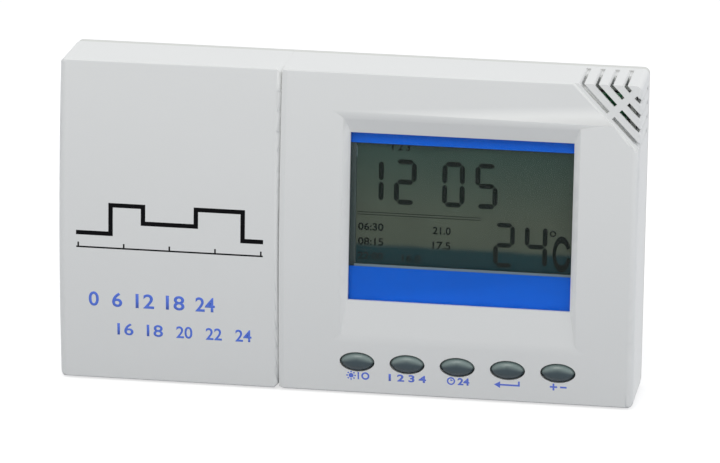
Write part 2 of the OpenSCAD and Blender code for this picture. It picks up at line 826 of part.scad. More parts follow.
module glass_block(grow, d0, d1) {
    slab(glass_x - glass_w / 2 - grow, glass_x + glass_w / 2 + grow,
        glass_z - glass_h / 2 - grow, glass_z + glass_h / 2 + grow, d0, d1);
}

// Frame with a lip over the top and the sides of the glass, open over its foot
module display_frame() {
    color("#8d9290") difference() {
        glass_block(frame_t + 0.1, board_d, frame_d);
        glass_block(0.1, board_d - over, glass_d);
        glass_block(-frame_lip, glass_d - over, frame_d + over);
        slab(glass_x - glass_w / 2 + frame_lip, glass_x + glass_w / 2 - frame_lip,
            glass_z - glass_h / 2 - 0.1, glass_z, glass_d - over, frame_d + over);
    }
}

module display_glass() {
    color("#5c675e") glass_block(0, glass_back_d, glass_d);
}

module zebra_strips() {
    strip_h = 1.6;
    color("#b7b2b4") for (side = [-1, 1])
        slab(glass_x - glass_w / 2 + 2, glass_x + glass_w / 2 - 2,
            glass_z + side * (glass_h / 2 - 2) - strip_h / 2,
            glass_z + side * (glass_h / 2 - 2) + strip_h / 2, board_d, glass_back_d);
}

// ---------- Boards ----------

module main_board() {
    notch = boss_r + 0.4;
    color(board_green) difference() {
        union() {
            slab(board_left, board_right, -board_half_h, board_half_h, board_back_d, board_d);
            slab(tongue_left, board_left + over, -board_half_h, tongue_top, board_back_d, board_d);
        }
        for (p = boss_places) {
            up = p[1] > 0 ? 1 : -1;
            z0 = up > 0 ? p[1] - notch : -half_h;
            slab(p[0] - notch, p[0] + notch, z0, z0 + half_h - boss_z + notch,
                board_back_d - over, board_d + over);
        }
        for (p = post_places) bar(p[0], p[1], board_back_d - over, board_d + over, board_screw_r + 0.4);
    }
}

// A pan-head screw with a cross recess, its head outwards
module pan_screw(x, z, d0, d1, r, head_r, head_h, out) {
    slot = 0.35 * head_r;
    difference() {
        union() {
            bar(x, z, d0, d1, r);
            if (out) bar(x, z, d1, d1 + head_h, head_r);
            else bar(x, z, d0 - head_h, d0, head_r);
        }
        for (turn = [0, 90]) translate([x, out ? -d1 - head_h : -d0 + head_h, z]) rotate([0, turn, 0])
            cube([1.3 * head_r, head_h, slot], center = true);
    }
}

module board_screws() {
    color(steel) for (p = post_places)
        pan_screw(p[0], p[1], board_back_d - board_screw_bite, board_d,
            board_screw_r, board_head_r, board_head_h, true);
}

module case_screws() {
    color(steel) for (p = boss_places)
        pan_screw(p[0], p[1], rear_d + case_head_sink, boss_foot_d + case_screw_bite,
            case_screw_r, case_head_r, case_head_h, false);
}

module controller_chip() {
    foot = 1;
    root = 0.3;
    color(black) {
        slab(chip_x, chip_x + chip_size, chip_z, chip_z + chip_size,
            board_back_d - chip_t, board_back_d - 0.1);
        for (i = [0 : chip_legs - 1]) {
            at = 1.2 + i * (chip_size - 2.4 - chip_leg) / (chip_legs - 1);
            for (z = [chip_z - foot, chip_z + chip_size - root])
                slab(chip_x + at, chip_x + at + chip_leg, z, z + foot + root,
                    board_back_d - chip_leg, board_back_d);
            for (x = [chip_x - foot, chip_x + chip_size - root])
                slab(x, x + foot + root, chip_z + at, chip_z + at + chip_leg,
                    board_back_d - chip_leg, board_back_d);
        }
    }
}

module watch_crystal() {
    color(tin) translate([chip_x - 6, -board_back_d + crystal_r, chip_z + 2])
        cylinder(h = crystal_len, r = crystal_r);
}

module board_capacitors() {
    color("#39424f") for (i = [0 : 2])
        bar(board_right - board_cap_inset + 3 * board_cap_r * i, glass_z - glass_h / 2,
            board_back_d - board_cap_h, board_back_d, board_cap_r);
}

module thermistor() {
    x = board_right - 4;
    z = board_half_h - 4.5;
    bead_d = board_d + 3 * bead_r;
    color("#1d2a4a") {
        translate([x, -bead_d, z]) sphere(r = bead_r);
        for (side = [-1, 1]) bar(x + side * bead_r / 2, z, board_d, bead_d, bead_wire_r);
    }
}

module tact_body(x, z, size, bore_r, bore_depth) {
    difference() {
        slab(x - size / 2, x + size / 2, z - size / 2, z + size / 2, board_d, tact_d);
        bar(x, z, tact_d - bore_depth, tact_d + over, bore_r);
    }
}

module tact_switches() {
    color(black) for (i = [0 : key_count - 1])
        tact_body(key_x(i), key_z, tact_size, plunger_r + 0.3, plunger_root + key_travel + 0.3);
}

module relay_board() {
    color(board_green) difference() {
        slab(relay_board_left, relay_board_right, relay_board_low, relay_board_high,
            relay_board_d - board_t, relay_board_d);
        for (p = relay_pegs()) bar(p[0], p[1], floor_d, relay_board_d + over, 0.85);
    }
}

function relay_pegs() = [for (z = [relay_board_low + 2, relay_board_high - 1.2]) [relay_board_left + 2, z]];

module relay() {
    color("#2b6fb0") slab(relay_board_right - 0.4 - relay_w, relay_board_right - 0.4,
        relay_cap_z + relay_cap_r + 2.4, relay_board_high - 2.3, relay_board_d, relay_board_d + relay_h);
}

module relay_capacitor() {
    color("#39424f") bar(strip_mid, relay_cap_z, relay_board_d, relay_board_d + relay_cap_h, relay_cap_r);
}

module board_header() {
    color(black) slab(tongue_left + 0.5, relay_board_right - 0.3, relay_board_low + 1, relay_board_low + 9,
        relay_board_d, board_back_d);
}

// Flat pins that plug into the terminal block
module contact_pins() {
    color(tin) for (i = [0 : pole_count - 1])
        slab(pin_x - pin_w / 2, pin_x + pin_w / 2, pole_z(i) - pin_h / 2, pole_z(i) + pin_h / 2,
            plate_t + 1.5, board_back_d);
}

// ---------- Cells ----------

// An AA cell standing upright, with its button up (1) or down (-1)
module cell(x, up) {
    can_len = cell_len - 1.2;
    button_end = up * (bay_half - contact_t - 0.1);
    z_mid = button_end - up * (1.2 + can_len / 2);
    translate([x, -cell_axis_d, z_mid]) {
        cylinder(h = can_len, r = cell_r, center = true);
        translate([0, 0, up * (can_len / 2 + 0.6)]) cylinder(h = 1.2, r = 2.6, center = true);
    }
}

module cell_left() {
    color("#3d4247") cell(cell_left_x, 1);
}

module cell_right() {
    color("#3d4247") cell(cell_right_x, -1);
}

module contact(x0, x1, up) {
    z0 = up > 0 ? bay_half - contact_t : -bay_half;
    slab(x0, x1, z0, z0 + contact_t, cell_axis_d - contact_w / 2, cell_axis_d + contact_w / 2 - 1.5);
}

module battery_bridge() {
    color(tin) contact(cell_left_x - contact_w / 2, cell_right_x + contact_w / 2, -1);
}

module battery_terminals() {
    color(tin) for (x = [cell_left_x, cell_right_x]) contact(x - contact_w / 2, x + contact_w / 2, 1);
}

// Points round the wire of a spring that narrows towards the cell
function spring_ring(i, rings, turns, sides) =
    let (t = i / (rings - 1), angle = 360 * turns * t, r = 4.2 - 1.4 * t,
        h = spring_wire_r + 0.05 + t * (spring_len - 2 * spring_wire_r - 0.1))
    [for (k = [0 : sides - 1]) let (a = 360 * k / sides)
        [(r + spring_wire_r * cos(a)) * cos(angle), (r + spring_wire_r * cos(a)) * sin(angle),
            h + spring_wire_r * sin(a)]];

module spring() {
    rings = 49;
    sides = 6;
    points = [for (i = [0 : rings - 1]) each spring_ring(i, rings, 4, sides)];
    walls = [for (i = [0 : rings - 2], k = [0 : sides - 1])
        [i * sides + k, i * sides + (k + 1) % sides,
            (i + 1) * sides + (k + 1) % sides, (i + 1) * sides + k]];
    ends = [[for (k = [0 : sides - 1]) sides - 1 - k], [for (k = [0 : sides - 1]) (rings - 1) * sides + k]];
    polyhedron(points, concat(walls, ends));
}

module battery_springs() {
    color(steel) {
        translate([cell_left_x, -cell_axis_d, -bay_half + contact_t]) spring();
        translate([cell_right_x, -cell_axis_d, bay_half - contact_t]) rotate([180, 0, 0]) spring();
    }
}

// ---------- Keys and switches ----------

// An oval key: domed head, flange behind the cover and a stem to its switch
module key(i) {
    rings = 5;
    sides = 40;
    rise = [for (j = [0 : rings]) sin(90 * j / rings)];
    shrink = [for (j = [0 : rings]) j == rings ? 0.04 : cos(90 * j / rings)];
    points = concat([for (p = oval(key_w, key_h, sides)) [p[0], p[1], key_flange_d - 0.1]],
        [for (j = [0 : rings]) each [for (p = oval(key_w * shrink[j], key_h * shrink[j], sides))
            [p[0], p[1], key_crest_d - key_dome + key_dome * rise[j]]]]);
    faces = concat([[for (k = [0 : sides - 1]) k]],
        [for (j = [0 : rings], k = [0 : sides - 1])
            [j * sides + k, (j + 1) * sides + k,
                (j + 1) * sides + (k + 1) % sides, j * sides + (k + 1) % sides]],
        [[for (k = [0 : sides - 1]) (rings + 2) * sides - 1 - k]]);
    color(key_grey) {
        translate([key_x(i), 0, key_z]) rotate([90, 0, 0]) polyhedron(points, faces);
        slab(key_x(i) - key_flange_w / 2, key_x(i) + key_flange_w / 2,
            key_z - key_h / 2 - key_flange_edge, key_z + key_h / 2 + key_flange_edge,
            key_flange_d - key_flange_t, key_flange_d);
        bar(key_x(i), key_z, plunger_top_d, key_flange_d - key_flange_t / 2, key_stem_r);
    }
}

module plunger(i) {
    color("#d8d4c8") bar(key_x(i), key_z, tact_d - plunger_root, plunger_top_d, plunger_r);
}

module selector_switch() {
    color(black) difference() {
        slab(selector_x - selector_w / 2, selector_x + selector_w / 2,
            selector_low, selector_low + selector_len, board_d, selector_d);
        slab(selector_x - knob_w / 2 - gap, selector_x + knob_w / 2 + gap,
            knob_low - gap, knob_low + knob_len + selector_travel + gap,
            selector_d - 1.6, selector_d + over);
    }
}

module selector_knob() {
    color("#e8e8e4") slab(selector_x - knob_w / 2, selector_x + knob_w / 2,
        knob_low, knob_low + knob_len, selector_d - 1.35, knob_d);
}

module reset_switch() {
    color(black) tact_body(selector_x, reset_z, reset_size, reset_r + 0.3,
        plunger_root + reset_travel + 0.3);
}

module reset_button() {
    color("#a33a34") bar(selector_x, reset_z, tact_d - plunger_root, tact_d + 1.8, reset_r);
}

wall_plate();
terminal_block();
terminal_clamps();
terminal_screws();
back_case();
front_cover();
case_screws();
window_lens();
window_mask();
display_frame();
display_glass();
zebra_strips();
main_board();
board_screws();
controller_chip();
watch_crystal();
board_capacitors();
thermistor();
tact_switches();
relay_board();
relay();
relay_capacitor();
board_header();
contact_pins();
battery_bridge();
battery_terminals();
battery_springs();
cell_left();
cell_right();
selector_switch();
reset_switch();
selector_knob();
reset_button();
battery_door();
key(0);  // key_1
key(1);  // key_2
key(2);  // key_3
key(3);  // key_4
key(4);  // key_5
plunger(0);  // plunger_1
plunger(1);  // plunger_2
plunger(2);  // plunger_3
plunger(3);  // plunger_4
plunger(4);  // plunger_5
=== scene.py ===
"""The looks of a programmable wall thermostat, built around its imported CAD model.

The sections follow the object as it is put together, from the wall plate to the battery door.
"""
from math import cos, hypot, pi, radians, sin, sqrt

import bpy
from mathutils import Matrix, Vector


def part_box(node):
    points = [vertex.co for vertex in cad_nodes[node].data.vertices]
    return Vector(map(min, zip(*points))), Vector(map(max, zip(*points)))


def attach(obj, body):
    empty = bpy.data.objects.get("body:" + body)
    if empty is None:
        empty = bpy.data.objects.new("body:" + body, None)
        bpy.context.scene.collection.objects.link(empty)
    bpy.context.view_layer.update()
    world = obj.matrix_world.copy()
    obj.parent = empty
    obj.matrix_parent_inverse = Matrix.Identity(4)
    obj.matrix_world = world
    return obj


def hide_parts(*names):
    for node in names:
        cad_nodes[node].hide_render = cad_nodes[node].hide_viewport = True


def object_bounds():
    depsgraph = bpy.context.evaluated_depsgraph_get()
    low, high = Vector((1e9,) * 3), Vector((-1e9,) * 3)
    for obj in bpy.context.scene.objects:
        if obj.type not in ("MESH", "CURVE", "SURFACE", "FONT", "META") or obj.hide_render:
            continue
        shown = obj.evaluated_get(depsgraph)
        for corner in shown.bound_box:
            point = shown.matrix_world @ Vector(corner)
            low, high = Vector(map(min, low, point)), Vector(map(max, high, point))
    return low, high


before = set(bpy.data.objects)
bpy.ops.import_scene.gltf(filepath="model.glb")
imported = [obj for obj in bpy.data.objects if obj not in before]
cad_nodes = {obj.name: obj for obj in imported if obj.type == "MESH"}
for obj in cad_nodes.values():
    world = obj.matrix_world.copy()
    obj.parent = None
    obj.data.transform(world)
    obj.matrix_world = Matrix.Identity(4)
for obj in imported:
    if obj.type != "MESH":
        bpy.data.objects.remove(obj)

cad_low, cad_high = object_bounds()
scene = bpy.context.scene
mm = 0.001

# ---------- Camera ----------
# A long lens looks down a little on the front and shows the top and the right side.
camera_data = bpy.data.cameras.new("camera")
camera_data.sensor_width = 36
camera_data.lens = 264.25
camera = bpy.data.objects.new("camera", camera_data)
camera.location = (0.18468, -1.23607, 0.34240)
camera.rotation_euler = (radians(74.453), radians(-0.7896), radians(8.711))
scene.collection.objects.link(camera)
scene.camera = camera

# ---------- Wall plate ----------
# A flat moulding in off-white ABS that is screwed to the wall. It carries the terminal block and
# four snap lugs that hold the unit. Its edges are broken a little, as any moulded edge is.
same_spot = 0.005 * mm


def only(*pieces):
    """Selects these pieces and nothing else, and makes the first one active."""
    bpy.ops.object.select_all(action="DESELECT")
    for piece in pieces:
        piece.select_set(True)
    bpy.context.view_layer.objects.active = pieces[0]


def edit(piece):
    """Opens a piece for editing, with all of it selected."""
    only(piece)
    bpy.ops.object.mode_set(mode="EDIT")
    bpy.ops.mesh.select_mode(type="FACE")
    bpy.ops.mesh.select_all(action="SELECT")


def close():
    """Ends the editing."""
    bpy.ops.object.mode_set(mode="OBJECT")


def modify(piece, kind, **settings):
    """Adds a modifier with these settings and applies it."""
    only(piece)
    modifier = piece.modifiers.new(kind.lower(), kind)
    for setting, value in settings.items():
        setattr(modifier, setting, value)
    bpy.ops.object.modifier_apply(modifier=modifier.name)


def dress(piece, material, body, slot, *replaced):
    """Gives a piece its material, its body and the CAD nodes it stands for. The slot is not used.
    """
    piece.data.materials.clear()
    piece.data.materials.append(material)
    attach(piece, body)
    if replaced:
        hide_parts(*replaced)
    return piece


def traced(node, name):
    """A copy of a CAD node's mesh, merged, with its flat faces made whole."""
    piece = cad_nodes[node].copy()
    piece.data = cad_nodes[node].data.copy()
    piece.name = piece.data.name = name
    piece.parent = None
    for key in list(piece.keys()):
        del piece[key]
    scene.collection.objects.link(piece)
    edit(piece)
    bpy.ops.mesh.remove_doubles(threshold=same_spot)
    bpy.ops.mesh.dissolve_limited(angle_limit=0.001)
    close()
    return piece


def even_out(piece, angle=50):
    """Smooth shading that keeps the large faces flat and lets the small ones turn the light."""
    only(piece)
    bpy.ops.object.shade_smooth_by_angle(angle=radians(angle))
    modify(piece, "WEIGHTED_NORMAL", keep_sharp=True, weight=80)


def broken_edges(piece, width, segments=2):
    """Rounds the sharp edges. width is in millimetres."""
    modify(piece, "BEVEL", width=width * mm, segments=segments, limit_method="ANGLE",
           angle_limit=radians(40), use_clamp_overlap=False)
    even_out(piece)
    return piece


def finished(node, name, width, material, body="unit", segments=2):
    """Traces a CAD node, breaks its edges by width and dresses it in a material."""
    piece = broken_edges(traced(node, name), width, segments)
    return dress(piece, material, body, material.name.split(".")[0], node)


def shader_group(name, inputs, outputs):
    """An empty node group with these sockets, its input node and its output node."""
    group = bpy.data.node_groups.new(name, "ShaderNodeTree")
    for label, kind, value in inputs:
        socket = group.interface.new_socket(label, in_out="INPUT", socket_type="NodeSocket" + kind)
        socket.default_value = value
    for label, kind in outputs:
        group.interface.new_socket(label, in_out="OUTPUT", socket_type="NodeSocket" + kind)
    return group, group.nodes.new("NodeGroupInput"), group.nodes.new("NodeGroupOutput")


def shader_node(tree, kind, wires=None, **settings):
    """A node with these settings. Its inputs get the numbers, colours or outputs in wires."""
    made = tree.nodes.new("ShaderNode" + kind)
    for setting, value in settings.items():
        setattr(made, setting, value)
    for socket, value in (wires or {}).items():
        if isinstance(value, bpy.types.NodeSocket):
            tree.links.new(value, made.inputs[socket])
        else:
            made.inputs[socket].default_value = value
    return made


def principled(name, **constants):
    """A material, its tree and its shader, with its plain numbers on the shader's own sockets."""
    material = bpy.data.materials.new(name)
    material.use_nodes = True
    shader = material.node_tree.nodes["Principled BSDF"]
    for socket, value in constants.items():
        shader.inputs[socket.replace("_", " ")].default_value = value
    return material, material.node_tree, shader


def skinned(name, group, values, strength, relief, **constants):
    """A material whose colour, gloss and relief come from a group. relief is in millimetres."""
    material, tree, shader = principled(name, **constants)
    skin = shader_node(tree, "Group", values, node_tree=group)
    bump = shader_node(tree, "Bump", {"Height": skin.outputs["Height"], "Strength": strength,
                                      "Distance": relief * mm})
    tree.links.new(skin.outputs["Colour"], shader.inputs["Base Color"])
    tree.links.new(skin.outputs["Roughness"], shader.inputs["Roughness"])
    tree.links.new(bump.outputs["Normal"], shader.inputs["Normal"])
    return material


# Moulded skin: the fine grain of a spark-eroded mould, a faint drift of tone, and uneven gloss
moulded_skin, group_in, group_out = shader_group(
    "moulded_skin",
    [("Colour", "Color", (0.8, 0.8, 0.8, 1)), ("Drift", "Float", 0.03),
     ("Grain Scale", "Float", 2500), ("Roughness", "Float", 0.45)],
    [("Colour", "Color"), ("Roughness", "Float"), ("Height", "Float")])
place = shader_node(moulded_skin, "TexCoord")
drift = shader_node(moulded_skin, "TexNoise",
                    {"Vector": place.outputs["Object"], "Scale": 45, "Detail": 3})
grain = shader_node(moulded_skin, "TexNoise",
                    {"Vector": place.outputs["Object"], "Scale": group_in.outputs["Grain Scale"],
                     "Detail": 2, "Roughness": 0.6})
swing = shader_node(moulded_skin, "Math", {0: drift.outputs["Fac"], 1: 0.5}, operation="SUBTRACT")
fine = shader_node(moulded_skin, "Math", {0: grain.outputs["Fac"], 1: 0.5}, operation="SUBTRACT")
both = shader_node(moulded_skin, "Math", {0: fine.outputs[0], 1: 0.35, 2: swing.outputs[0]},
                   operation="MULTIPLY_ADD")
tone = shader_node(moulded_skin, "Math",
                   {0: both.outputs[0], 1: group_in.outputs["Drift"], 2: 1},
                   operation="MULTIPLY_ADD")
tinted = shader_node(moulded_skin, "VectorMath",
                     {0: group_in.outputs["Colour"], 1: tone.outputs[0]}, operation="MULTIPLY")
gloss = shader_node(moulded_skin, "Math",
                    {0: grain.outputs["Fac"], 1: 0.12, 2: group_in.outputs["Roughness"]},
                    operation="MULTIPLY_ADD")
moulded_skin.links.new(tinted.outputs[0], group_out.inputs["Colour"])
moulded_skin.links.new(gloss.outputs[0], group_out.inputs["Roughness"])
moulded_skin.links.new(grain.outputs["Fac"], group_out.inputs["Height"])


def moulded(name, colour, roughness=0.45, drift=0.04, grain=2500, relief=0.004, strength=0.5,
            **constants):
    """A moulded plastic with its drift of tone and the scale of its grain."""
    return skinned(name, moulded_skin, {"Colour": (*colour, 1), "Drift": drift,
                                        "Grain Scale": grain, "Roughness": roughness},
                   strength, relief, **constants)


back_plastic = moulded("back_plastic", (0.70, 0.71, 0.68), roughness=0.5, relief=0.006)
finished("wall_plate", "plate_moulding", 0.2, back_plastic, "plate")

# ---------- Terminal block ----------
# Four screw terminals in a green nylon housing. Each has a tinned cage that its screw pulls up on
# the wire, and a slit where a flat pin of the unit plugs in.
terminal_green = moulded("terminal_green", (0.07, 0.25, 0.12), roughness=0.4, drift=0.1)
finished("terminal_block", "terminal_housing", 0.12, terminal_green, "plate")

# Rolled metal: long fine scratches along one axis, cloudy tin or zinc, and its gloss
rolled_metal, group_in, group_out = shader_group(
    "rolled_metal",
    [("Colour", "Color", (0.6, 0.6, 0.6, 1)), ("Cloud", "Float", 0.2),
     ("Stretch", "Vector", (1, 1, 1)), ("Roughness", "Float", 0.3)],
    [("Colour", "Color"), ("Roughness", "Float"), ("Height", "Float")])
place = shader_node(rolled_metal, "TexCoord")
drawn = shader_node(rolled_metal, "VectorMath",
                    {0: place.outputs["Object"], 1: group_in.outputs["Stretch"]},
                    operation="MULTIPLY")
scratches = shader_node(rolled_metal, "TexNoise",
                        {"Vector": drawn.outputs[0], "Scale": 2200, "Detail": 3})
clouds = shader_node(rolled_metal, "TexNoise",
                     {"Vector": place.outputs["Object"], "Scale": 350, "Detail": 4})
swing = shader_node(rolled_metal, "Math", {0: clouds.outputs["Fac"], 1: 0.5}, operation="SUBTRACT")
tone = shader_node(rolled_metal, "Math",
                   {0: swing.outputs[0], 1: group_in.outputs["Cloud"], 2: 1},
                   operation="MULTIPLY_ADD")
tinted = shader_node(rolled_metal, "VectorMath",
                     {0: group_in.outputs["Colour"], 1: tone.outputs[0]}, operation="MULTIPLY")
mixed = shader_node(rolled_metal, "Math", {0: scratches.outputs["Fac"], 1: clouds.outputs["Fac"]},
                    operation="MULTIPLY")
gloss = shader_node(rolled_metal, "Math",
                    {0: mixed.outputs[0], 1: 0.5, 2: group_in.outputs["Roughness"]},
                    operation="MULTIPLY_ADD")
rolled_metal.links.new(tinted.outputs[0], group_out.inputs["Colour"])
rolled_metal.links.new(gloss.outputs[0], group_out.inputs["Roughness"])
rolled_metal.links.new(scratches.outputs["Fac"], group_out.inputs["Height"])


def metal(name, colour, roughness=0.25, cloud=0.25, stretch=(1, 1, 0.05)):
    """A rolled, drawn or plated metal. stretch is short along the run of its scratches."""
    return skinned(name, rolled_metal, {"Colour": (*colour, 1), "Cloud": cloud,
                                        "Stretch": stretch, "Roughness": roughness},
                   0.4, 0.002, Metallic=1.0)


tinned_metal = metal("tinned_metal", (0.72, 0.73, 0.74), roughness=0.22)
screw_steel = metal("screw_steel", (0.62, 0.63, 0.66), roughness=0.2, stretch=(1, 1, 1))
finished("terminal_clamps", "terminal_cages", 0.06, tinned_metal, "plate")
finished("terminal_screws", "terminal_slot_screws", 0.1, screw_steel, "plate")

# ---------- Back case ----------
# The rear half of the unit, moulded in the same off-white ABS. It holds the battery bay, the posts
# for the boards, the screw bosses and the pockets for the plate's lugs.
finished("back_case", "back_moulding", 0.15, back_plastic)

# ---------- Boards ----------
# Two glass-fibre boards under green lacquer. Their tracks show as paler lines, and their pads and
# the stitching of through holes as small tinned dots.


def two_tones(tree, share, low, high):
    """A colour that runs from low to high with the share."""
    tones = shader_node(tree, "Mix", {"Factor": share, 6: low, 7: high}, data_type="RGBA")
    return tones.outputs[2]


circuit_board, tree, shader = principled("circuit_board", IOR=1.5, Coat_Weight=0.3,
                                         Coat_Roughness=0.12)
place = shader_node(tree, "TexCoord")
flat = shader_node(tree, "Mapping", {"Vector": place.outputs["Object"],
                                     "Rotation": (radians(90), 0, 0)})
tracks = shader_node(tree, "TexBrick",
                     {"Vector": flat.outputs[0], "Scale": 160, "Mortar Size": 0.035,
                      "Mortar Smooth": 0.1, "Brick Width": 0.9, "Row Height": 0.22,
                      "Color1": (0.012, 0.085, 0.035, 1), "Color2": (0.014, 0.11, 0.045, 1),
                      "Mortar": (0.03, 0.20, 0.08, 1)})
weave = shader_node(tree, "TexNoise", {"Vector": flat.outputs[0], "Scale": 1800, "Detail": 2})
dots = shader_node(tree, "TexVoronoi", {"Vector": flat.outputs[0], "Scale": 420,
                                        "Randomness": 0.55})
is_pad = shader_node(tree, "Math", {0: dots.outputs["Distance"], 1: 0.16}, operation="LESS_THAN")
coloured = two_tones(tree, is_pad.outputs[0], tracks.outputs["Color"], (0.62, 0.62, 0.58, 1))
sheen = shader_node(tree, "Math", {0: weave.outputs["Fac"], 1: 0.2, 2: 0.2},
                    operation="MULTIPLY_ADD")
bump = shader_node(tree, "Bump", {"Height": tracks.outputs["Fac"], "Strength": 0.5,
                                  "Distance": 0.03 * mm})
tree.links.new(coloured, shader.inputs["Base Color"])
tree.links.new(is_pad.outputs[0], shader.inputs["Metallic"])
tree.links.new(sheen.outputs[0], shader.inputs["Roughness"])
tree.links.new(bump.outputs["Normal"], shader.inputs["Normal"])

finished("relay_board", "relay_circuit_board", 0.1, circuit_board, segments=1)
finished("main_board", "main_circuit_board", 0.1, circuit_board, segments=1)

# ---------- Parts on the relay board ----------
# A sealed blue relay with rounded edges, one aluminium capacitor in a dark shrunk sleeve, and the
# black header that joins the two boards.
relay_case = moulded("relay_case", (0.03, 0.15, 0.42), roughness=0.18, drift=0.08, grain=900,
                     relief=0.002, Coat_Weight=0.2, Coat_Roughness=0.1)
finished("relay", "relay_can", 0.5, relay_case, segments=3)

black_plastic = moulded("black_plastic", (0.022, 0.022, 0.024), roughness=0.42, drift=0.2)
finished("board_header", "header_strip", 0.12, black_plastic)

can_sleeve = moulded("can_sleeve", (0.02, 0.03, 0.07), roughness=0.28, drift=0.2, grain=700,
                     relief=0.01, strength=0.4, Coat_Weight=0.4, Coat_Roughness=0.15)


def settle(piece):
    """Leaves the piece's object at the origin, with its place in its mesh."""
    only(piece)
    bpy.ops.object.transform_apply(location=True, rotation=True, scale=True)


def unpick(piece):
    """Deselects all of a piece."""
    for item in (*piece.data.vertices, *piece.data.edges, *piece.data.polygons):
        item.select = False


def pick_faces(piece, test):
    """Selects only the faces whose middle and normal pass the test."""
    unpick(piece)
    for face in piece.data.polygons:
        face.select = bool(test(face.center, face.normal))


def edit_kept(piece, mode="FACE"):
    """Opens a piece for editing with the faces or the edges it was given as its selection."""
    only(piece)
    bpy.context.tool_settings.mesh_select_mode = (False, mode == "EDGE", mode == "FACE")
    bpy.ops.object.mode_set(mode="EDIT")


def push_out(*shift):
    """Extrudes the selected faces by x, y and z."""
    bpy.ops.mesh.extrude_region_move(TRANSFORM_OT_translate={"value": shift})


def sleeved_can(name, x, y, z, radius, height, up):
    """A can capacitor square to its board, its sleeve turned over the rim of its sunk top."""
    bpy.ops.mesh.primitive_cylinder_add(vertices=48, radius=radius, depth=height,
                                        location=(x, y + up * height / 2, z),
                                        rotation=(radians(90), 0, 0))
    can = bpy.context.object
    can.name = name
    settle(can)
    pick_faces(can, lambda middle, normal: normal.y * up > 0.9)
    edit_kept(can)
    bpy.ops.mesh.inset(thickness=0.12 * radius)
    push_out(0, -up * 0.12 * radius, 0)
    bpy.ops.mesh.inset(thickness=0.18 * radius)
    bpy.ops.transform.translate(value=(0, up * 0.06 * radius, 0))
    close()
    return can


low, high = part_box("relay_capacitor")
middle = (low + high) / 2
relay_can = sleeved_can("relay_board_capacitor", middle.x, high.y, middle.z,
                        (high.x - low.x) / 2, high.y - low.y, -1)
dress(broken_edges(relay_can, 0.15), can_sleeve, "unit", "can_sleeve", "relay_capacitor")

# ---------- Parts on the main board ----------
# Behind the board sit the controller, the watch crystal and three small capacitors. On its front
# are the thermistor behind the vent, and the key switches with steel tops.
low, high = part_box("board_capacitors")
can_radius = (high.z - low.z) / 2
for i in range(3):
    can = sleeved_can(f"board_capacitor_{i + 1}", low.x + can_radius * (1 + 3 * i), low.y,
                      (low.z + high.z) / 2, can_radius, high.y - low.y, 1)
    dress(broken_edges(can, 0.12), can_sleeve, "unit", "can_sleeve",
          *(["board_capacitors"] if i == 0 else []))

chip = finished("controller_chip", "controller_package", 0.04, black_plastic, segments=1)
low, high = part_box("controller_chip")
leg = 0.95 * mm
chip.data.materials.append(tinned_metal)
for face in chip.data.polygons:
    spot = face.center
    on_body = (low.x + leg < spot.x < high.x - leg) and (low.z + leg < spot.z < high.z - leg)
    face.material_index = 0 if on_body else 1

finished("watch_crystal", "crystal_can", 0.2, tinned_metal, segments=3)

epoxy_bead = moulded("epoxy_bead", (0.012, 0.018, 0.05), roughness=0.12, grain=600, relief=0.01,
                     Coat_Weight=0.5, Coat_Roughness=0.05)
bead = traced("thermistor", "thermistor_bead")
even_out(bead, 70)
dress(bead, epoxy_bead, "unit", "epoxy_bead", "thermistor")
bead.data.materials.append(tinned_metal)
bead_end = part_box("thermistor")[0].y + 2.35 * mm
for face in bead.data.polygons:
    face.material_index = 0 if face.center.y < bead_end else 1

switches = finished("tact_switches", "key_switches", 0.15, black_plastic)
switches.data.materials.append(tinned_metal)
cap_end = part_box("tact_switches")[0].y + 0.3 * mm
for face in switches.data.polygons:
    face.material_index = 1 if face.center.y < cap_end and face.normal.y < -0.9 else 0

finished("board_screws", "board_pan_screws", 0.14, screw_steel, segments=3)
finished("case_screws", "case_pan_screws", 0.14, screw_steel, segments=3)

# ---------- Display ----------
# A bare liquid-crystal cell between two polarisers, held by a dark frame and joined to the board by
# two strips of layered rubber. It shows the time, the room temperature and three switching times.


def ramped(tree, share, low, high, start=0.0, end=1.0):
    """A colour ramp between two colours that stand at start and end."""
    ramp = shader_node(tree, "ValToRGB", {"Fac": share})
    for stop, position, colour in zip(ramp.color_ramp.elements, (start, end), (low, high)):
        stop.position = position
        stop.color = (*colour, 1)
    return ramp.outputs["Color"]


zebra_rubber, tree, shader = principled("zebra_rubber", Roughness=0.7)
place = shader_node(tree, "TexCoord")
layers = shader_node(tree, "TexWave", {"Vector": place.outputs["Object"], "Scale": 1500,
                                       "Distortion": 0.3}, bands_direction="X")
tree.links.new(ramped(tree, layers.outputs["Fac"], (0.04, 0.04, 0.045), (0.50, 0.42, 0.45)),
               shader.inputs["Base Color"])
finished("zebra_strips", "layered_strips", 0.1, zebra_rubber)

frame_plastic = moulded("frame_plastic", (0.055, 0.085, 0.080), roughness=0.5)
finished("display_frame", "display_bezel", 0.1, frame_plastic)
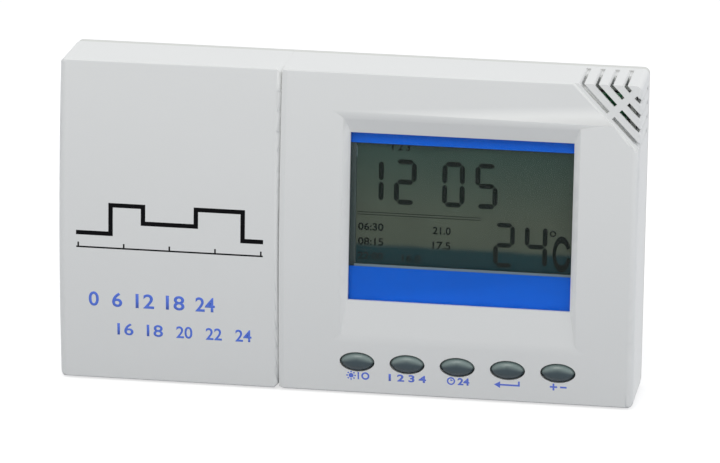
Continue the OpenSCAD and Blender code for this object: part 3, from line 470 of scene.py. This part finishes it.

# The glass is olive, greener towards the top. The dark teal band along its foot is a painted
# reflection.
display_glass, tree, shader = principled("display_glass", Specular_IOR_Level=0.1)
place = shader_node(tree, "TexCoord")
spread = shader_node(tree, "SeparateXYZ", {"Vector": place.outputs["Object"]})
haze = shader_node(tree, "TexNoise", {"Vector": place.outputs["Object"], "Scale": 55, "Detail": 3})
# A painted reflection: a dark teal band along the foot of the glass, with a ragged upper edge
painted_reflection_edge = shader_node(tree, "Math", {0: haze.outputs["Fac"], 1: 1.6 * mm, 2: spread.outputs["Z"]},
                     operation="MULTIPLY_ADD")
painted_reflection_foot = shader_node(tree, "MapRange", {"Value": painted_reflection_edge.outputs[0], "From Min": -3.4 * mm,
                                      "From Max": -1.6 * mm}, interpolation_type="SMOOTHSTEP")
rise = shader_node(tree, "MapRange", {"Value": spread.outputs["Z"], "From Min": 4 * mm,
                                      "From Max": 20 * mm})
upper = two_tones(tree, rise.outputs[0], (0.100, 0.124, 0.088, 1), (0.052, 0.094, 0.072, 1))
toned = two_tones(tree, painted_reflection_foot.outputs[0], (0.012, 0.048, 0.052, 1), upper)
mottled = shader_node(tree, "Math", {0: haze.outputs["Fac"], 1: 0.5, 2: 0.75},
                      operation="MULTIPLY_ADD")
shown = shader_node(tree, "VectorMath", {0: toned, 1: mottled.outputs[0]},
                    operation="MULTIPLY")
gloss = shader_node(tree, "Math", {0: haze.outputs["Fac"], 1: 0.1, 2: 0.14},
                    operation="MULTIPLY_ADD")
tree.links.new(shown.outputs[0], shader.inputs["Base Color"])
tree.links.new(gloss.outputs[0], shader.inputs["Roughness"])
finished("display_glass", "display_cell", 0.06, display_glass, segments=1)

segment_t = 0.03 * mm
segment_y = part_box("display_glass")[0].y - 0.6 * segment_t


def plate_piece(x0, x1, z0, z1, y=segment_y, pointed=False):
    """A thin upright plate as thick as a segment. A pointed one runs out to a point at its ends."""
    bpy.ops.mesh.primitive_cube_add(size=1, location=((x0 + x1) / 2 * mm, y, (z0 + z1) / 2 * mm))
    made = bpy.context.object
    made.scale = ((x1 - x0) * mm, segment_t, (z1 - z0) * mm)
    settle(made)
    if pointed:
        unpick(made)
        for edge in made.data.edges:
            a, b = (made.data.vertices[i].co for i in edge.vertices)
            edge.select = abs(a.y - b.y) > segment_t / 2
        edit_kept(made, "EDGE")
        bpy.ops.mesh.bevel(offset=0.49 * min(x1 - x0, z1 - z0) * mm, segments=1)
        close()
    return made


def joined(name, pieces):
    """One piece made of several."""
    only(*pieces)
    bpy.ops.object.join()
    whole = bpy.context.object
    whole.name = whole.data.name = name
    settle(whole)
    return whole


# Lit segments of a digit: a is the top, b to f run clockwise round it, g is the middle
lit_segments = {"0": "abcdef", "1": "bc", "2": "abged", "4": "fgbc", "5": "afgcd"}


def digit(value, x0, x1, z0, z1, stroke):
    """The lit segments of one digit, each a bar with pointed ends and a hair's gap to the next."""
    mid, hair, half = (z0 + z1) / 2, 0.12, stroke / 2
    inner = half + hair
    spans = {
        "a": (x0 + inner, x1 - inner, z1 - stroke, z1),
        "g": (x0 + inner, x1 - inner, mid - half, mid + half),
        "d": (x0 + inner, x1 - inner, z0, z0 + stroke),
        "b": (x1 - stroke, x1, mid + hair, z1 - inner),
        "c": (x1 - stroke, x1, z0 + inner, mid - hair),
        "f": (x0, x0 + stroke, mid + hair, z1 - inner),
        "e": (x0, x0 + stroke, z0 + inner, mid - hair)}
    return [plate_piece(*spans[letter], pointed=True) for letter in lit_segments[value]]


def hoop(x, z, radius, tube, corners):
    """A round hoop upright on the glass."""
    bpy.ops.mesh.primitive_torus_add(major_segments=corners, minor_segments=8,
                                     major_radius=radius * mm, minor_radius=tube * mm,
                                     location=(x * mm, segment_y, z * mm),
                                     rotation=(radians(90), 0, 0))
    made = bpy.context.object
    settle(made)
    return made


display_ink = moulded("display_ink", (0.007, 0.012, 0.008), roughness=0.3, drift=0.1, relief=0.001,
                      Specular_IOR_Level=0.05)

clock = []
for value, x0, x1 in (("1", 3.0, 8.5), ("2", 11.0, 16.5), ("0", 22.7, 28.2), ("5", 30.7, 36.2)):
    clock += digit(value, x0, x1, 7.2, 18.5, 1.25)
dress(joined("display_clock_digits", clock), display_ink, "unit", "display_glass")

degrees = []
for value, x0, x1 in (("2", 35.4, 40.6), ("4", 43.0, 48.5)):
    degrees += digit(value, x0, x1, -7.2, 4.0, 1.15)

# The degree sign is a flattened hoop. The letter is a tall one, open on the right.
sign_tube = 0.17
sign = hoop(49.8, 1.9, 0.62, sign_tube, 32)
edit(sign)
bpy.ops.transform.resize(value=(1, segment_t / (2 * sign_tube * mm), 1),
                         center_override=(0, segment_y, 0))
close()
letter_x, letter_z, letter_tube = 52.0, -3.1, 0.6
gap_below, gap_above = 0.54, 1.0
narrow, tall = 0.716, 1.45
letter = hoop(letter_x, letter_z, 2.5, letter_tube, 48)
pick_faces(letter, lambda middle, normal: middle.x > letter_x * mm and
           (letter_z - gap_below) * mm < middle.z < (letter_z + gap_above) * mm)
edit_kept(letter)
bpy.ops.mesh.delete(type="FACE")
bpy.ops.mesh.select_all(action="SELECT")
bpy.ops.mesh.fill_holes(sides=8)
bpy.ops.transform.resize(value=(narrow, segment_t / (2 * letter_tube * mm), tall),
                         center_override=(letter_x * mm, segment_y, letter_z * mm))
close()
dress(joined("display_room_degrees", degrees + [sign, letter]),
      display_ink, "unit", "display_glass")

rules = [plate_piece(2.2, 32.3, z - 0.08, z + 0.08) for z in (4.3, 4.9)]
dress(joined("display_double_rule", rules), display_ink, "unit", "display_glass")


def figures(words, x, z, height, width, y, thick, weight=0.02):
    """Plain figures as a thin upright mesh. x is their left end, z their foot, weight how bold."""
    bpy.ops.object.text_add()
    made = bpy.context.object
    made.data.body = words
    made.data.offset = weight
    made.data.extrude = thick / 2
    bpy.ops.object.convert(target="MESH")
    made = bpy.context.object
    points = [vertex.co for vertex in made.data.vertices]
    low_x, low_y = min(p.x for p in points), min(p.y for p in points)
    across = width * mm / (max(p.x for p in points) - low_x)
    rise = height * mm / (max(p.y for p in points) - low_y)
    made.scale = (across, rise, 1)
    settle(made)
    made.rotation_euler = (radians(90), 0, 0)
    made.location = (x * mm - low_x * across, y, z * mm - low_y * rise)
    settle(made)
    return made


table = [figures(words, x, z, 1.9, width, segment_y, segment_t)
         for words, x, z, width in (
             ("06:30", 2.4, 0.3, 6.2), ("21.0", 20.6, 0.2, 4.4), ("08:15", 2.4, -3.4, 6.2),
             ("17.5", 20.6, -3.5, 4.4), ("22:00", 2.4, -7.0, 6.2), ("16.0", 13.2, -7.1, 4.6),
             ("1 2 3", 10.4, 20.6, 4.4))]
dress(joined("display_switching_times", table), display_ink, "unit", "display_glass")

# Painted glints: a pale strip on the frame's lower bar and a bright fleck at the glass's left edge,
# where light catches the edges
edge_glint = moulded("edge_glint", (0.34, 0.46, 0.52), roughness=0.35, relief=0.001)
bar_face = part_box("display_frame")[0].y - segment_t / 2
glints = [plate_piece(1.6, 54.9, -9.1, -8.02, bar_face), plate_piece(1.75, 1.95, 18.6, 21.4)]
dress(joined("display_edge_glints", glints), edge_glint, "unit", "display_glass")

# ---------- Window ----------
# A clear acrylic lens snapped in from behind. Two bands of blue film are bonded to its rear face
# and hide the display's frame.
blue_film, tree, shader = principled("blue_film", Roughness=0.4, Specular_IOR_Level=0.15)
place = shader_node(tree, "TexCoord")
dots = shader_node(tree, "TexNoise", {"Vector": place.outputs["Object"], "Scale": 3000,
                                      "Detail": 1})
tree.links.new(ramped(tree, dots.outputs["Fac"], (0.006, 0.148, 0.84), (0.008, 0.184, 0.98),
                      0.3, 0.7), shader.inputs["Base Color"])
dress(traced("window_mask", "film_bands"), blue_film, "unit", "blue_film", "window_mask")

clear_window, tree, shader = principled("clear_window", Base_Color=(0.03, 0.04, 0.05, 1), IOR=1.49)
place = shader_node(tree, "TexCoord")
wipe = shader_node(tree, "TexNoise", {"Vector": place.outputs["Object"], "Scale": 70, "Detail": 5})
for socket, least in (("Roughness", 0.03), ("Alpha", 0.05)):
    dust = shader_node(tree, "MapRange", {"Value": wipe.outputs["Fac"], "To Min": least,
                                          "To Max": 0.09})
    tree.links.new(dust.outputs[0], shader.inputs[socket])
dress(traced("window_lens", "clear_lens"), clear_window, "unit", "clear_window", "window_lens")

# ---------- Front cover ----------
# The front half of the unit in satin white ABS: a crowned face with a recess round the window,
# five key holes, and a vent of mitred slots that runs over the corner. Its edges are soft.
shell_plastic = moulded("shell_plastic", (0.80, 0.81, 0.80), roughness=0.42, drift=0.025,
                        grain=3200, relief=0.003)
near = 0.04 * mm
# The face's one large radius, and how far its axis lies behind the wall
crown_r, crown_y = 321.25 * mm, 297.55 * mm
# The recess: its sides, its upper and its lower edge. Only the front lies before front_y.
recess_left, recess_right, recess_top, recess_foot = -1.1 * mm, 56.45 * mm, 29.8 * mm, -26.0 * mm
front_y = -18.5 * mm
# The vent's sunk field: its mitred edge's distance from the corner, its depth and its end
field_reach, field_inset, field_end = 11.475 * mm, 0.6 * mm, cad_high.x - 1.7 * mm
# The cover's end at the seam, and the bevel there
seam_x, seam_bevel_w, seam_bevel_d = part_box("battery_door")[1].x + 0.3 * mm, 1.3 * mm, 0.4 * mm
# The seam's notches in the top and the bottom: their rear end, depth and half width
notch_end, notch_depth, notch_half = -16.7 * mm, 1.1 * mm, 0.35 * mm


def pick_edges(piece, test):
    """Selects only the edges whose two ends pass the test."""
    unpick(piece)
    for edge in piece.data.edges:
        edge.select = all(test(piece.data.vertices[i].co) for i in edge.vertices)


def soften(piece, test, width, segments):
    """Rounds the edges whose two ends pass the test. The new faces take the first material."""
    pick_edges(piece, test)
    edit_kept(piece, "EDGE")
    bpy.ops.mesh.bevel(offset=width * mm, offset_type="OFFSET", segments=segments, profile=0.5,
                       clamp_overlap=False, material=0)
    close()


def off_crown(point, inset=0.0):
    """How far a point is from the large radius, or from one sunk below it by the inset."""
    return abs(hypot(point.y - crown_y, point.z) - crown_r + inset)


def mark_crown(piece):
    """Gives the large radius, the vent's field and the seam's bevel a second material, which
    later cuts leave as it is."""
    piece.data.materials.clear()
    for _ in range(2):
        piece.data.materials.append(shell_plastic)
    for face in piece.data.polygons:
        corners = [piece.data.vertices[i].co for i in face.vertices]
        curved = any(all(off_crown(corner, inset) < near / 4 for corner in corners)
                     for inset in (0, field_inset))
        at_seam = all(seam_x - near < corner.x < seam_x + seam_bevel_w + near and
                      off_crown(corner) < seam_bevel_d + near for corner in corners)
        face.material_index = 1 if (curved or at_seam) and face.normal.y < -0.9 else 0


def turn_light(piece):
    """Smooth shading in which the marked faces turn with the large radius and keep their lean."""
    even_out(piece, 30)
    shape = piece.data
    normals = [Vector(corner.vector) for corner in shape.corner_normals]
    for face in shape.polygons:
        if face.material_index == 1:
            lean = face.normal.x
            for corner in face.loop_indices:
                spot = shape.vertices[shape.loops[corner].vertex_index].co
                outward = Vector((0, spot.y - crown_y, spot.z)).normalized()
                normals[corner] = outward * sqrt(1 - lean ** 2) + Vector((lean, 0, 0))
        face.material_index = 0
    shape.normals_split_custom_set(normals)


def run_out_notches(piece):
    """Lets the seam's notches rise to the top and the bottom face at their rear end."""
    for side in (-1, 1):
        pick_edges(piece, lambda p: abs(p.x - seam_x) < notch_half and
                   abs(p.y - notch_end) < near and p.z * side > cad_high.z - notch_depth)
        edit_kept(piece, "EDGE")
        bpy.ops.transform.resize(value=(1, 1, 0), center_override=(0, 0, cad_high.z * side))
        bpy.ops.mesh.select_all(action="SELECT")
        bpy.ops.mesh.remove_doubles(threshold=same_spot)
        close()


cover = traced("front_cover", "cover_moulding")
run_out_notches(cover)
mark_crown(cover)
# The recess's upper and lower edges, and then the mitred edge of the vent's field
for edge_z, width in ((recess_top, 1.0), (recess_foot, 1.2)):
    soften(cover, lambda p: p.y < front_y and abs(p.z - edge_z) < near and
           recess_left < p.x < recess_right, width, 4)
soften(cover, lambda p: off_crown(p) < near and p.x < field_end and
       abs((cad_high.x + cad_high.z - p.x - p.z) / sqrt(2) - field_reach) < near, 0.45, 1)
turn_light(cover)
dress(cover, shell_plastic, "unit", "shell_plastic", "front_cover")

# ---------- Key marks ----------
# Small marks pad-printed in blue under the keys: a sun and a ring, the program numbers, a clock
# with the day's hours, an enter arrow, and plus and minus.
ink_t = 0.008 * mm
print_y = -30 * mm


def print_on(piece, shell, steps=1):
    """Lays a flat print on the curved face of a shell and gives it the thickness of its ink."""
    edit(piece)
    bpy.ops.mesh.subdivide(number_cuts=steps)
    close()
    modify(piece, "SHRINKWRAP", target=shell, wrap_method="PROJECT", wrap_mode="ABOVE_SURFACE",
           use_project_y=True, use_positive_direction=True, use_negative_direction=False,
           offset=ink_t / 2)
    edit(piece)
    bpy.ops.mesh.normals_make_consistent(inside=False)
    close()
    modify(piece, "SOLIDIFY", thickness=ink_t, offset=0)
    return piece


def flat_bar(x0, x1, z0, z1):
    """A flat upright rectangle in front of the case."""
    bpy.ops.mesh.primitive_plane_add(
        size=1, location=((x0 + x1) / 2 * mm, print_y, (z0 + z1) / 2 * mm),
        rotation=(radians(90), 0, 0))
    made = bpy.context.object
    made.scale = ((x1 - x0) * mm, (z1 - z0) * mm, 1)
    settle(made)
    return made


def flat_disc(x, z, radius, hole=0.0, corners=32):
    """A flat upright disc, or a ring where it has a hole."""
    bpy.ops.mesh.primitive_circle_add(vertices=corners, radius=radius * mm, fill_type="NGON",
                                      location=(x * mm, print_y, z * mm),
                                      rotation=(radians(90), 0, 0))
    made = bpy.context.object
    settle(made)
    if hole:
        edit(made)
        bpy.ops.mesh.inset(thickness=(radius - hole) * mm)
        bpy.ops.mesh.delete(type="FACE")
        close()
    return made


def flat_arrow(x, z, size):
    """A flat upright triangle that points left."""
    made = flat_disc(x, z, size, corners=3)
    edit(made)
    bpy.ops.transform.rotate(value=radians(90), orient_axis="Y",
                             center_override=(x * mm, print_y, z * mm))
    close()
    return made


def flat_figures(words, x, z, height, width, weight=0.035):
    """Flat upright figures in front of the case."""
    return figures(words, x, z, height, width, print_y, 0, weight)


key_blue = moulded("key_blue_ink", (0.11, 0.18, 0.70), roughness=0.4, relief=0.002)
mark_z, mark_half = -35.5, 0.95
sun_x, ray_out = 1.7, 0.98
marks = [flat_disc(sun_x, mark_z, 0.6)]
for i in range(8):
    angle = i * pi / 4
    marks.append(flat_disc(sun_x + ray_out * cos(angle), mark_z + ray_out * sin(angle), 0.22,
                           corners=8))
marks += [flat_disc(5.2, mark_z, 1.0, 0.58), flat_disc(26.2, mark_z, 1.02, 0.66),
          flat_figures("1 2 3 4", 10.9, mark_z - mark_half, 2 * mark_half, 9.2),
          flat_figures("24", 27.8, mark_z - mark_half, 2 * mark_half, 2.9),
          flat_arrow(37.7, mark_z - 0.2, 1.0)]
# The bar before the ring, the clock's hands, the arrow's shaft and its rise, plus and minus
marks += [flat_bar(x0, x1, mark_z + z0, mark_z + z1) for x0, x1, z0, z1 in (
    (3.3, 3.65, -mark_half, mark_half), (26.07, 26.33, 0, 0.5), (26.33, 26.62, 0, 0.24),
    (38.2, 43.0, -0.42, 0.02), (42.56, 43.0, 0.02, 0.9), (50.3, 52.1, -0.22, 0.22),
    (50.98, 51.42, 0.22, 0.9), (50.98, 51.42, -0.9, -0.22), (52.8, 54.4, -0.22, 0.22))]
key_marks = print_on(joined("key_marks", marks), cover)
dress(key_marks, key_blue, "unit", "blue_film")

# ---------- Keys ----------
# Five domed oval keys in dark grey-green plastic, with a painted highlight: a paler tone where they
# turn up or to the sides. Each has a flange behind the cover and a stem that a small plunger
# carries to its switch.
key_plastic = moulded("key_plastic", (0.02, 0.04, 0.05), roughness=0.24, drift=0.08, grain=1800,
                      relief=0.003, Specular_IOR_Level=0.5)
tree = key_plastic.node_tree
# A painted highlight: the key's colour turns paler where its surface faces up or to the sides
facing = shader_node(tree, "NewGeometry")
turned = shader_node(tree, "SeparateXYZ", {"Vector": facing.outputs["Normal"]})
ends = shader_node(tree, "Math", {0: turned.outputs["X"]}, operation="ABSOLUTE")
rim = shader_node(tree, "Math", {0: ends.outputs[0], 1: 0.55, 2: turned.outputs["Z"]},
                  operation="MULTIPLY_ADD")
share = shader_node(tree, "MapRange", {"Value": rim.outputs[0], "From Min": 0.08,
                                       "From Max": 0.62}, interpolation_type="SMOOTHSTEP")
painted_highlight = two_tones(tree, share.outputs[0], (0.026, 0.050, 0.062, 1), (0.19, 0.25, 0.24, 1))
skin = next(node for node in tree.nodes if node.type == "GROUP")
tree.links.new(painted_highlight, skin.inputs["Colour"])
plunger_plastic = moulded("plunger_plastic", (0.62, 0.58, 0.47), roughness=0.4)
for i in range(1, 6):
    key = traced(f"key_{i}", f"oval_key_{i}")
    even_out(key, 35)
    dress(key, key_plastic, f"key{i}", "key_plastic", f"key_{i}")
    finished(f"plunger_{i}", f"key_plunger_{i}", 0.15, plunger_plastic, f"key{i}")

# ---------- Selector and reset ----------
# A slide selector and a small reset switch on the tongue of the main board, reached once the door
# is off. The selector has a cream knob and the reset a recessed red button.
finished("selector_switch", "selector_body", 0.15, black_plastic)
finished("reset_switch", "reset_body", 0.15, black_plastic)
knob_plastic = moulded("knob_plastic", (0.80, 0.79, 0.74), roughness=0.38)
finished("selector_knob", "sliding_knob", 0.2, knob_plastic, "selector", 3)
reset_plastic = moulded("reset_plastic", (0.36, 0.045, 0.03), roughness=0.35)
finished("reset_button", "reset_cap", 0.25, reset_plastic, "reset", 3)

# ---------- Contacts and springs ----------
# Tinned strips bent up at both ends of the bay, two conical springs of drawn wire, and the four
# flat pins that plug into the terminal block.
finished("battery_bridge", "bridge_strip", 0.08, tinned_metal)
finished("battery_terminals", "terminal_strips", 0.08, tinned_metal)
finished("contact_pins", "plug_pins", 0.08, tinned_metal)

spring_steel = metal("spring_steel", (0.60, 0.61, 0.63), roughness=0.18, stretch=(1, 1, 1))
low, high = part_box("battery_springs")
wire_r, coil_r, coil_narrowing = 0.35 * mm, 4.2 * mm, 1.4 * mm
coil_turns, coil_len, coil_gap = 4, 5.0 * mm, 0.05 * mm
steps = 120
springs = []
for x, z, up in ((low.x + coil_r + wire_r, low.z, 1), (high.x - coil_r - wire_r, high.z, -1)):
    line = bpy.data.curves.new("spring_wire", "CURVE")
    line.dimensions = "3D"
    line.bevel_depth = wire_r
    line.bevel_resolution = 3
    line.use_fill_caps = True
    run = line.splines.new("POLY")
    run.points.add(steps)
    for k in range(steps + 1):
        share = k / steps
        angle = 2 * pi * coil_turns * share
        radius = coil_r - coil_narrowing * share
        height = wire_r + coil_gap + share * (coil_len - 2 * wire_r - 2 * coil_gap)
        run.points[k].co = (x + radius * cos(angle),
                            (low.y + high.y) / 2 + radius * sin(angle) * up, z + up * height, 1)
    wire = bpy.data.objects.new("spring_wire", line)
    scene.collection.objects.link(wire)
    only(wire)
    bpy.ops.object.convert(target="MESH")
    springs.append(bpy.context.object)
coils = joined("conical_springs", springs)
even_out(coils, 60)
dress(coils, spring_steel, "unit", "spring_steel", "battery_springs")

# ---------- Cells ----------
# Two AA cells: a steel can in a glossy jacket that is shrunk over its shoulders, with a raised
# button at one end and a slightly domed base at the other.
cell_jacket, tree, shader = principled("cell_jacket", Coat_Weight=0.3, Coat_Roughness=0.1)
place = shader_node(tree, "TexCoord")
flow = shader_node(tree, "TexNoise", {"Vector": place.outputs["Object"], "Scale": 500,
                                      "Detail": 2})
gloss = shader_node(tree, "Math", {0: flow.outputs["Fac"], 1: 0.15, 2: 0.16},
                    operation="MULTIPLY_ADD")
tree.links.new(ramped(tree, flow.outputs["Fac"], (0.020, 0.035, 0.040), (0.032, 0.052, 0.058)),
               shader.inputs["Base Color"])
tree.links.new(gloss.outputs[0], shader.inputs["Roughness"])
cell_band = moulded("cell_band", (0.62, 0.63, 0.60), roughness=0.25, relief=0.001, Coat_Weight=0.3,
                    Coat_Roughness=0.1)
button_h, button_r = 1.2 * mm, 2.6 * mm
shoulder, seal, seal_depth = 1.5 * mm, 0.3 * mm, 0.35 * mm
ring, ring_h, dome_edge, dome_h = 0.9 * mm, 0.25 * mm, 1.2 * mm, 0.2 * mm
band_near, band_far, turned_in = 6.0 * mm, 8.5 * mm, 1.3 * mm

for node, name, up in (("cell_left", "aa_cell_left", 1), ("cell_right", "aa_cell_right", -1)):
    low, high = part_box(node)
    radius, middle = (high.x - low.x) / 2, (low + high) / 2
    can_len = high.z - low.z - button_h
    bpy.ops.mesh.primitive_cylinder_add(
        vertices=64, radius=radius, depth=can_len,
        location=(middle.x, middle.y, middle.z - up * button_h / 2))
    cell = bpy.context.object
    cell.name = name
    settle(cell)
    # The jacket's shoulder, the seal, and the button at the upper end
    pick_faces(cell, lambda spot, normal: normal.z * up > 0.9)
    edit_kept(cell)
    bpy.ops.mesh.inset(thickness=shoulder)
    push_out(0, 0, -up * seal_depth)
    bpy.ops.mesh.inset(thickness=radius - shoulder - button_r - seal)
    push_out(0, 0, up * seal_depth)
    bpy.ops.mesh.inset(thickness=seal)
    push_out(0, 0, up * button_h)
    close()
    # The bare base at the other end, domed a little inside its ring
    pick_faces(cell, lambda spot, normal: normal.z * up < -0.9)
    edit_kept(cell)
    bpy.ops.mesh.inset(thickness=ring)
    push_out(0, 0, up * ring_h)
    bpy.ops.mesh.inset(thickness=dome_edge)
    bpy.ops.transform.translate(value=(0, 0, -up * dome_h))
    close()
    # Two cuts round the jacket part off the pale band beside the button
    for offset in (band_near, band_far):
        edit(cell)
        bpy.ops.mesh.bisect(plane_co=(0, 0, middle.z + up * (can_len / 2 - offset)),
                            plane_no=(0, 0, 1))
        close()
    broken_edges(cell, 0.3, 3)
    dress(cell, cell_jacket, "unit", "cell_jacket", node)
    cell.data.materials.append(cell_band)
    cell.data.materials.append(tinned_metal)
    for face in cell.data.polygons:
        spot = face.center
        reach = hypot(spot.x - middle.x, spot.y - middle.y)
        along = up * (spot.z - middle.z) - can_len / 2
        if reach < radius - turned_in:
            face.material_index = 2
        elif -band_far < along < -band_near:
            face.material_index = 1

# ---------- Battery door ----------
# A plain satin white cover that slides off to the left. Its seam edge is rounded and closes up to a
# hair's gap beside the front cover, and its ribs run in grooves of the back case.
door = traced("battery_door", "door_moulding")
run_out_notches(door)
door_end = max(vertex.co.x for vertex in door.data.vertices)
# The end reaches further towards the cover, and furthest on the top and the bottom face
for reach, from_z in ((0.12 * mm, cad_high.z - near), (0.16 * mm, 0)):
    pick_edges(door, lambda p: p.x > door_end - near / 2 and abs(p.z) >= from_z)
    edit_kept(door, "EDGE")
    bpy.ops.transform.translate(value=(reach, 0, 0))
    close()
mark_crown(door)
turn_light(door)
dress(door, shell_plastic, "door", "shell_plastic", "battery_door")

# ---------- Prints on the door ----------
# Pad-printed in black: the day's temperature as a stepped line over a ruled axis. In blue: the
# hours of the day, and the steps of the temperature in degrees.
door_black = moulded("door_black_ink", (0.004, 0.004, 0.005), roughness=0.5, relief=0.002,
                     Specular_IOR_Level=0.05)
door_blue = moulded("door_blue_ink", (0.09, 0.19, 0.76), roughness=0.4, relief=0.002)

levels = ((-65.5, -57.5, -2.6), (-57.5, -49.5, 4.6), (-49.5, -36.5, 0.4), (-36.5, -25.0, 4.6),
          (-25.0, -20.5, -2.6))
half = 0.55
lines = [flat_bar(x0 - half, x1 + half, z - half, z + half) for x0, x1, z in levels]
lines += [flat_bar(x - half, x + half, min(z0, z1) + half, max(z0, z1) - half)
          for (_, x, z0), (_, _, z1) in zip(levels, levels[1:])]
axis_z, axis_t, tick = -6.0, 0.4, 1.0
lines.append(flat_bar(-66.0, -20.0, axis_z - axis_t, axis_z))
lines += [flat_bar(x - axis_t / 2, x + axis_t / 2, axis_z, axis_z + tick)
          for x in (-65.5, -54.25, -43.0, -31.75, -20.5)]
day_line = print_on(joined("door_day_profile", lines), door, steps=3)
dress(day_line, door_black, "door", "black_plastic")

hours = [flat_figures(words, x, -21.2, 3.7, width, 0.018)
         for words, x, width in (("0", -63.0, 2.5), ("6", -57.2, 2.5), ("12", -51.4, 4.6),
                                 ("18", -43.9, 4.6), ("24", -36.6, 4.8))]
hours += [flat_figures(words, x, -28.4, 3.1, 4.0, 0.015)
          for words, x in (("16", -56.0), ("18", -48.7), ("20", -41.4), ("22", -34.1),
                           ("24", -26.8))]
door_hours = print_on(joined("door_hours_and_degrees", hours), door)
dress(door_hours, door_blue, "door", "blue_film")

# ---------- Floor, backdrop and light ----------
# A pale floor that the case stands over in a white surround. A soft lamp above the front and a
# larger one far to the right leave the faces turned down a little darker.


def seen_directly(tree):
    """1 where the camera sees the white itself, through glass or in a gloss, and 0 elsewhere."""
    ray = shader_node(tree, "LightPath")
    seen = shader_node(tree, "Math", {0: ray.outputs["Is Camera Ray"],
                                      1: ray.outputs["Is Transmission Ray"]}, operation="MAXIMUM")
    seen = shader_node(tree, "Math", {0: seen.outputs[0], 1: ray.outputs["Is Glossy Ray"]},
                       operation="MAXIMUM")
    return seen.outputs[0]


bpy.ops.mesh.primitive_plane_add(size=6, location=(0, 0, cad_low[2] - 0.5 * mm))
floor = bpy.context.object
floor.name = "floor"
floor_white, tree, shader = principled("floor_white", Roughness=0.9, Emission_Color=(1, 1, 1, 1))
place = shader_node(tree, "TexCoord")
cloud = shader_node(tree, "TexNoise", {"Vector": place.outputs["Object"], "Scale": 3})
seen = seen_directly(tree)
pale = two_tones(tree, seen, (0.375, 0.385, 0.41, 1), (0.45, 0.45, 0.45, 1))
shade = shader_node(tree, "MapRange", {"Value": cloud.outputs["Fac"], "To Min": 0.98})
toned = shader_node(tree, "VectorMath", {0: pale, 1: shade.outputs[0]}, operation="MULTIPLY")
lift = shader_node(tree, "MapRange", {"Value": seen, "To Max": 0.66})
tree.links.new(toned.outputs[0], shader.inputs["Base Color"])
tree.links.new(lift.outputs[0], shader.inputs["Emission Strength"])
floor.data.materials.append(floor_white)

world = bpy.data.worlds.new("surround")
scene.world = world
world.use_nodes = True
tree = world.node_tree
sky = tree.nodes["Background"]
seen = seen_directly(tree)
strength = shader_node(tree, "MapRange", {"Value": seen, "To Min": 0.72})
tree.links.new(two_tones(tree, seen, (0.985, 1.0, 1.04, 1), (1, 1, 1, 1)), sky.inputs["Color"])
tree.links.new(strength.outputs[0], sky.inputs["Strength"])

for name, energy, size, colour, place in (
        ("high_lamp", 1.92, 0.35, (1, 0.98, 0.91), (-0.08, -0.57, 0.69)),
        ("side_lamp", 2.9, 0.9, (1, 1, 1), (1.18, -0.25, 0.32))):
    light = bpy.data.lights.new(name, "AREA")
    light.energy, light.size, light.color = energy, size, colour
    lamp = bpy.data.objects.new(name, light)
    lamp.location = place
    lamp.rotation_euler = (-lamp.location).to_track_quat("-Z", "Y").to_euler()
    scene.collection.objects.link(lamp)

scene.view_settings.view_transform = "Standard"
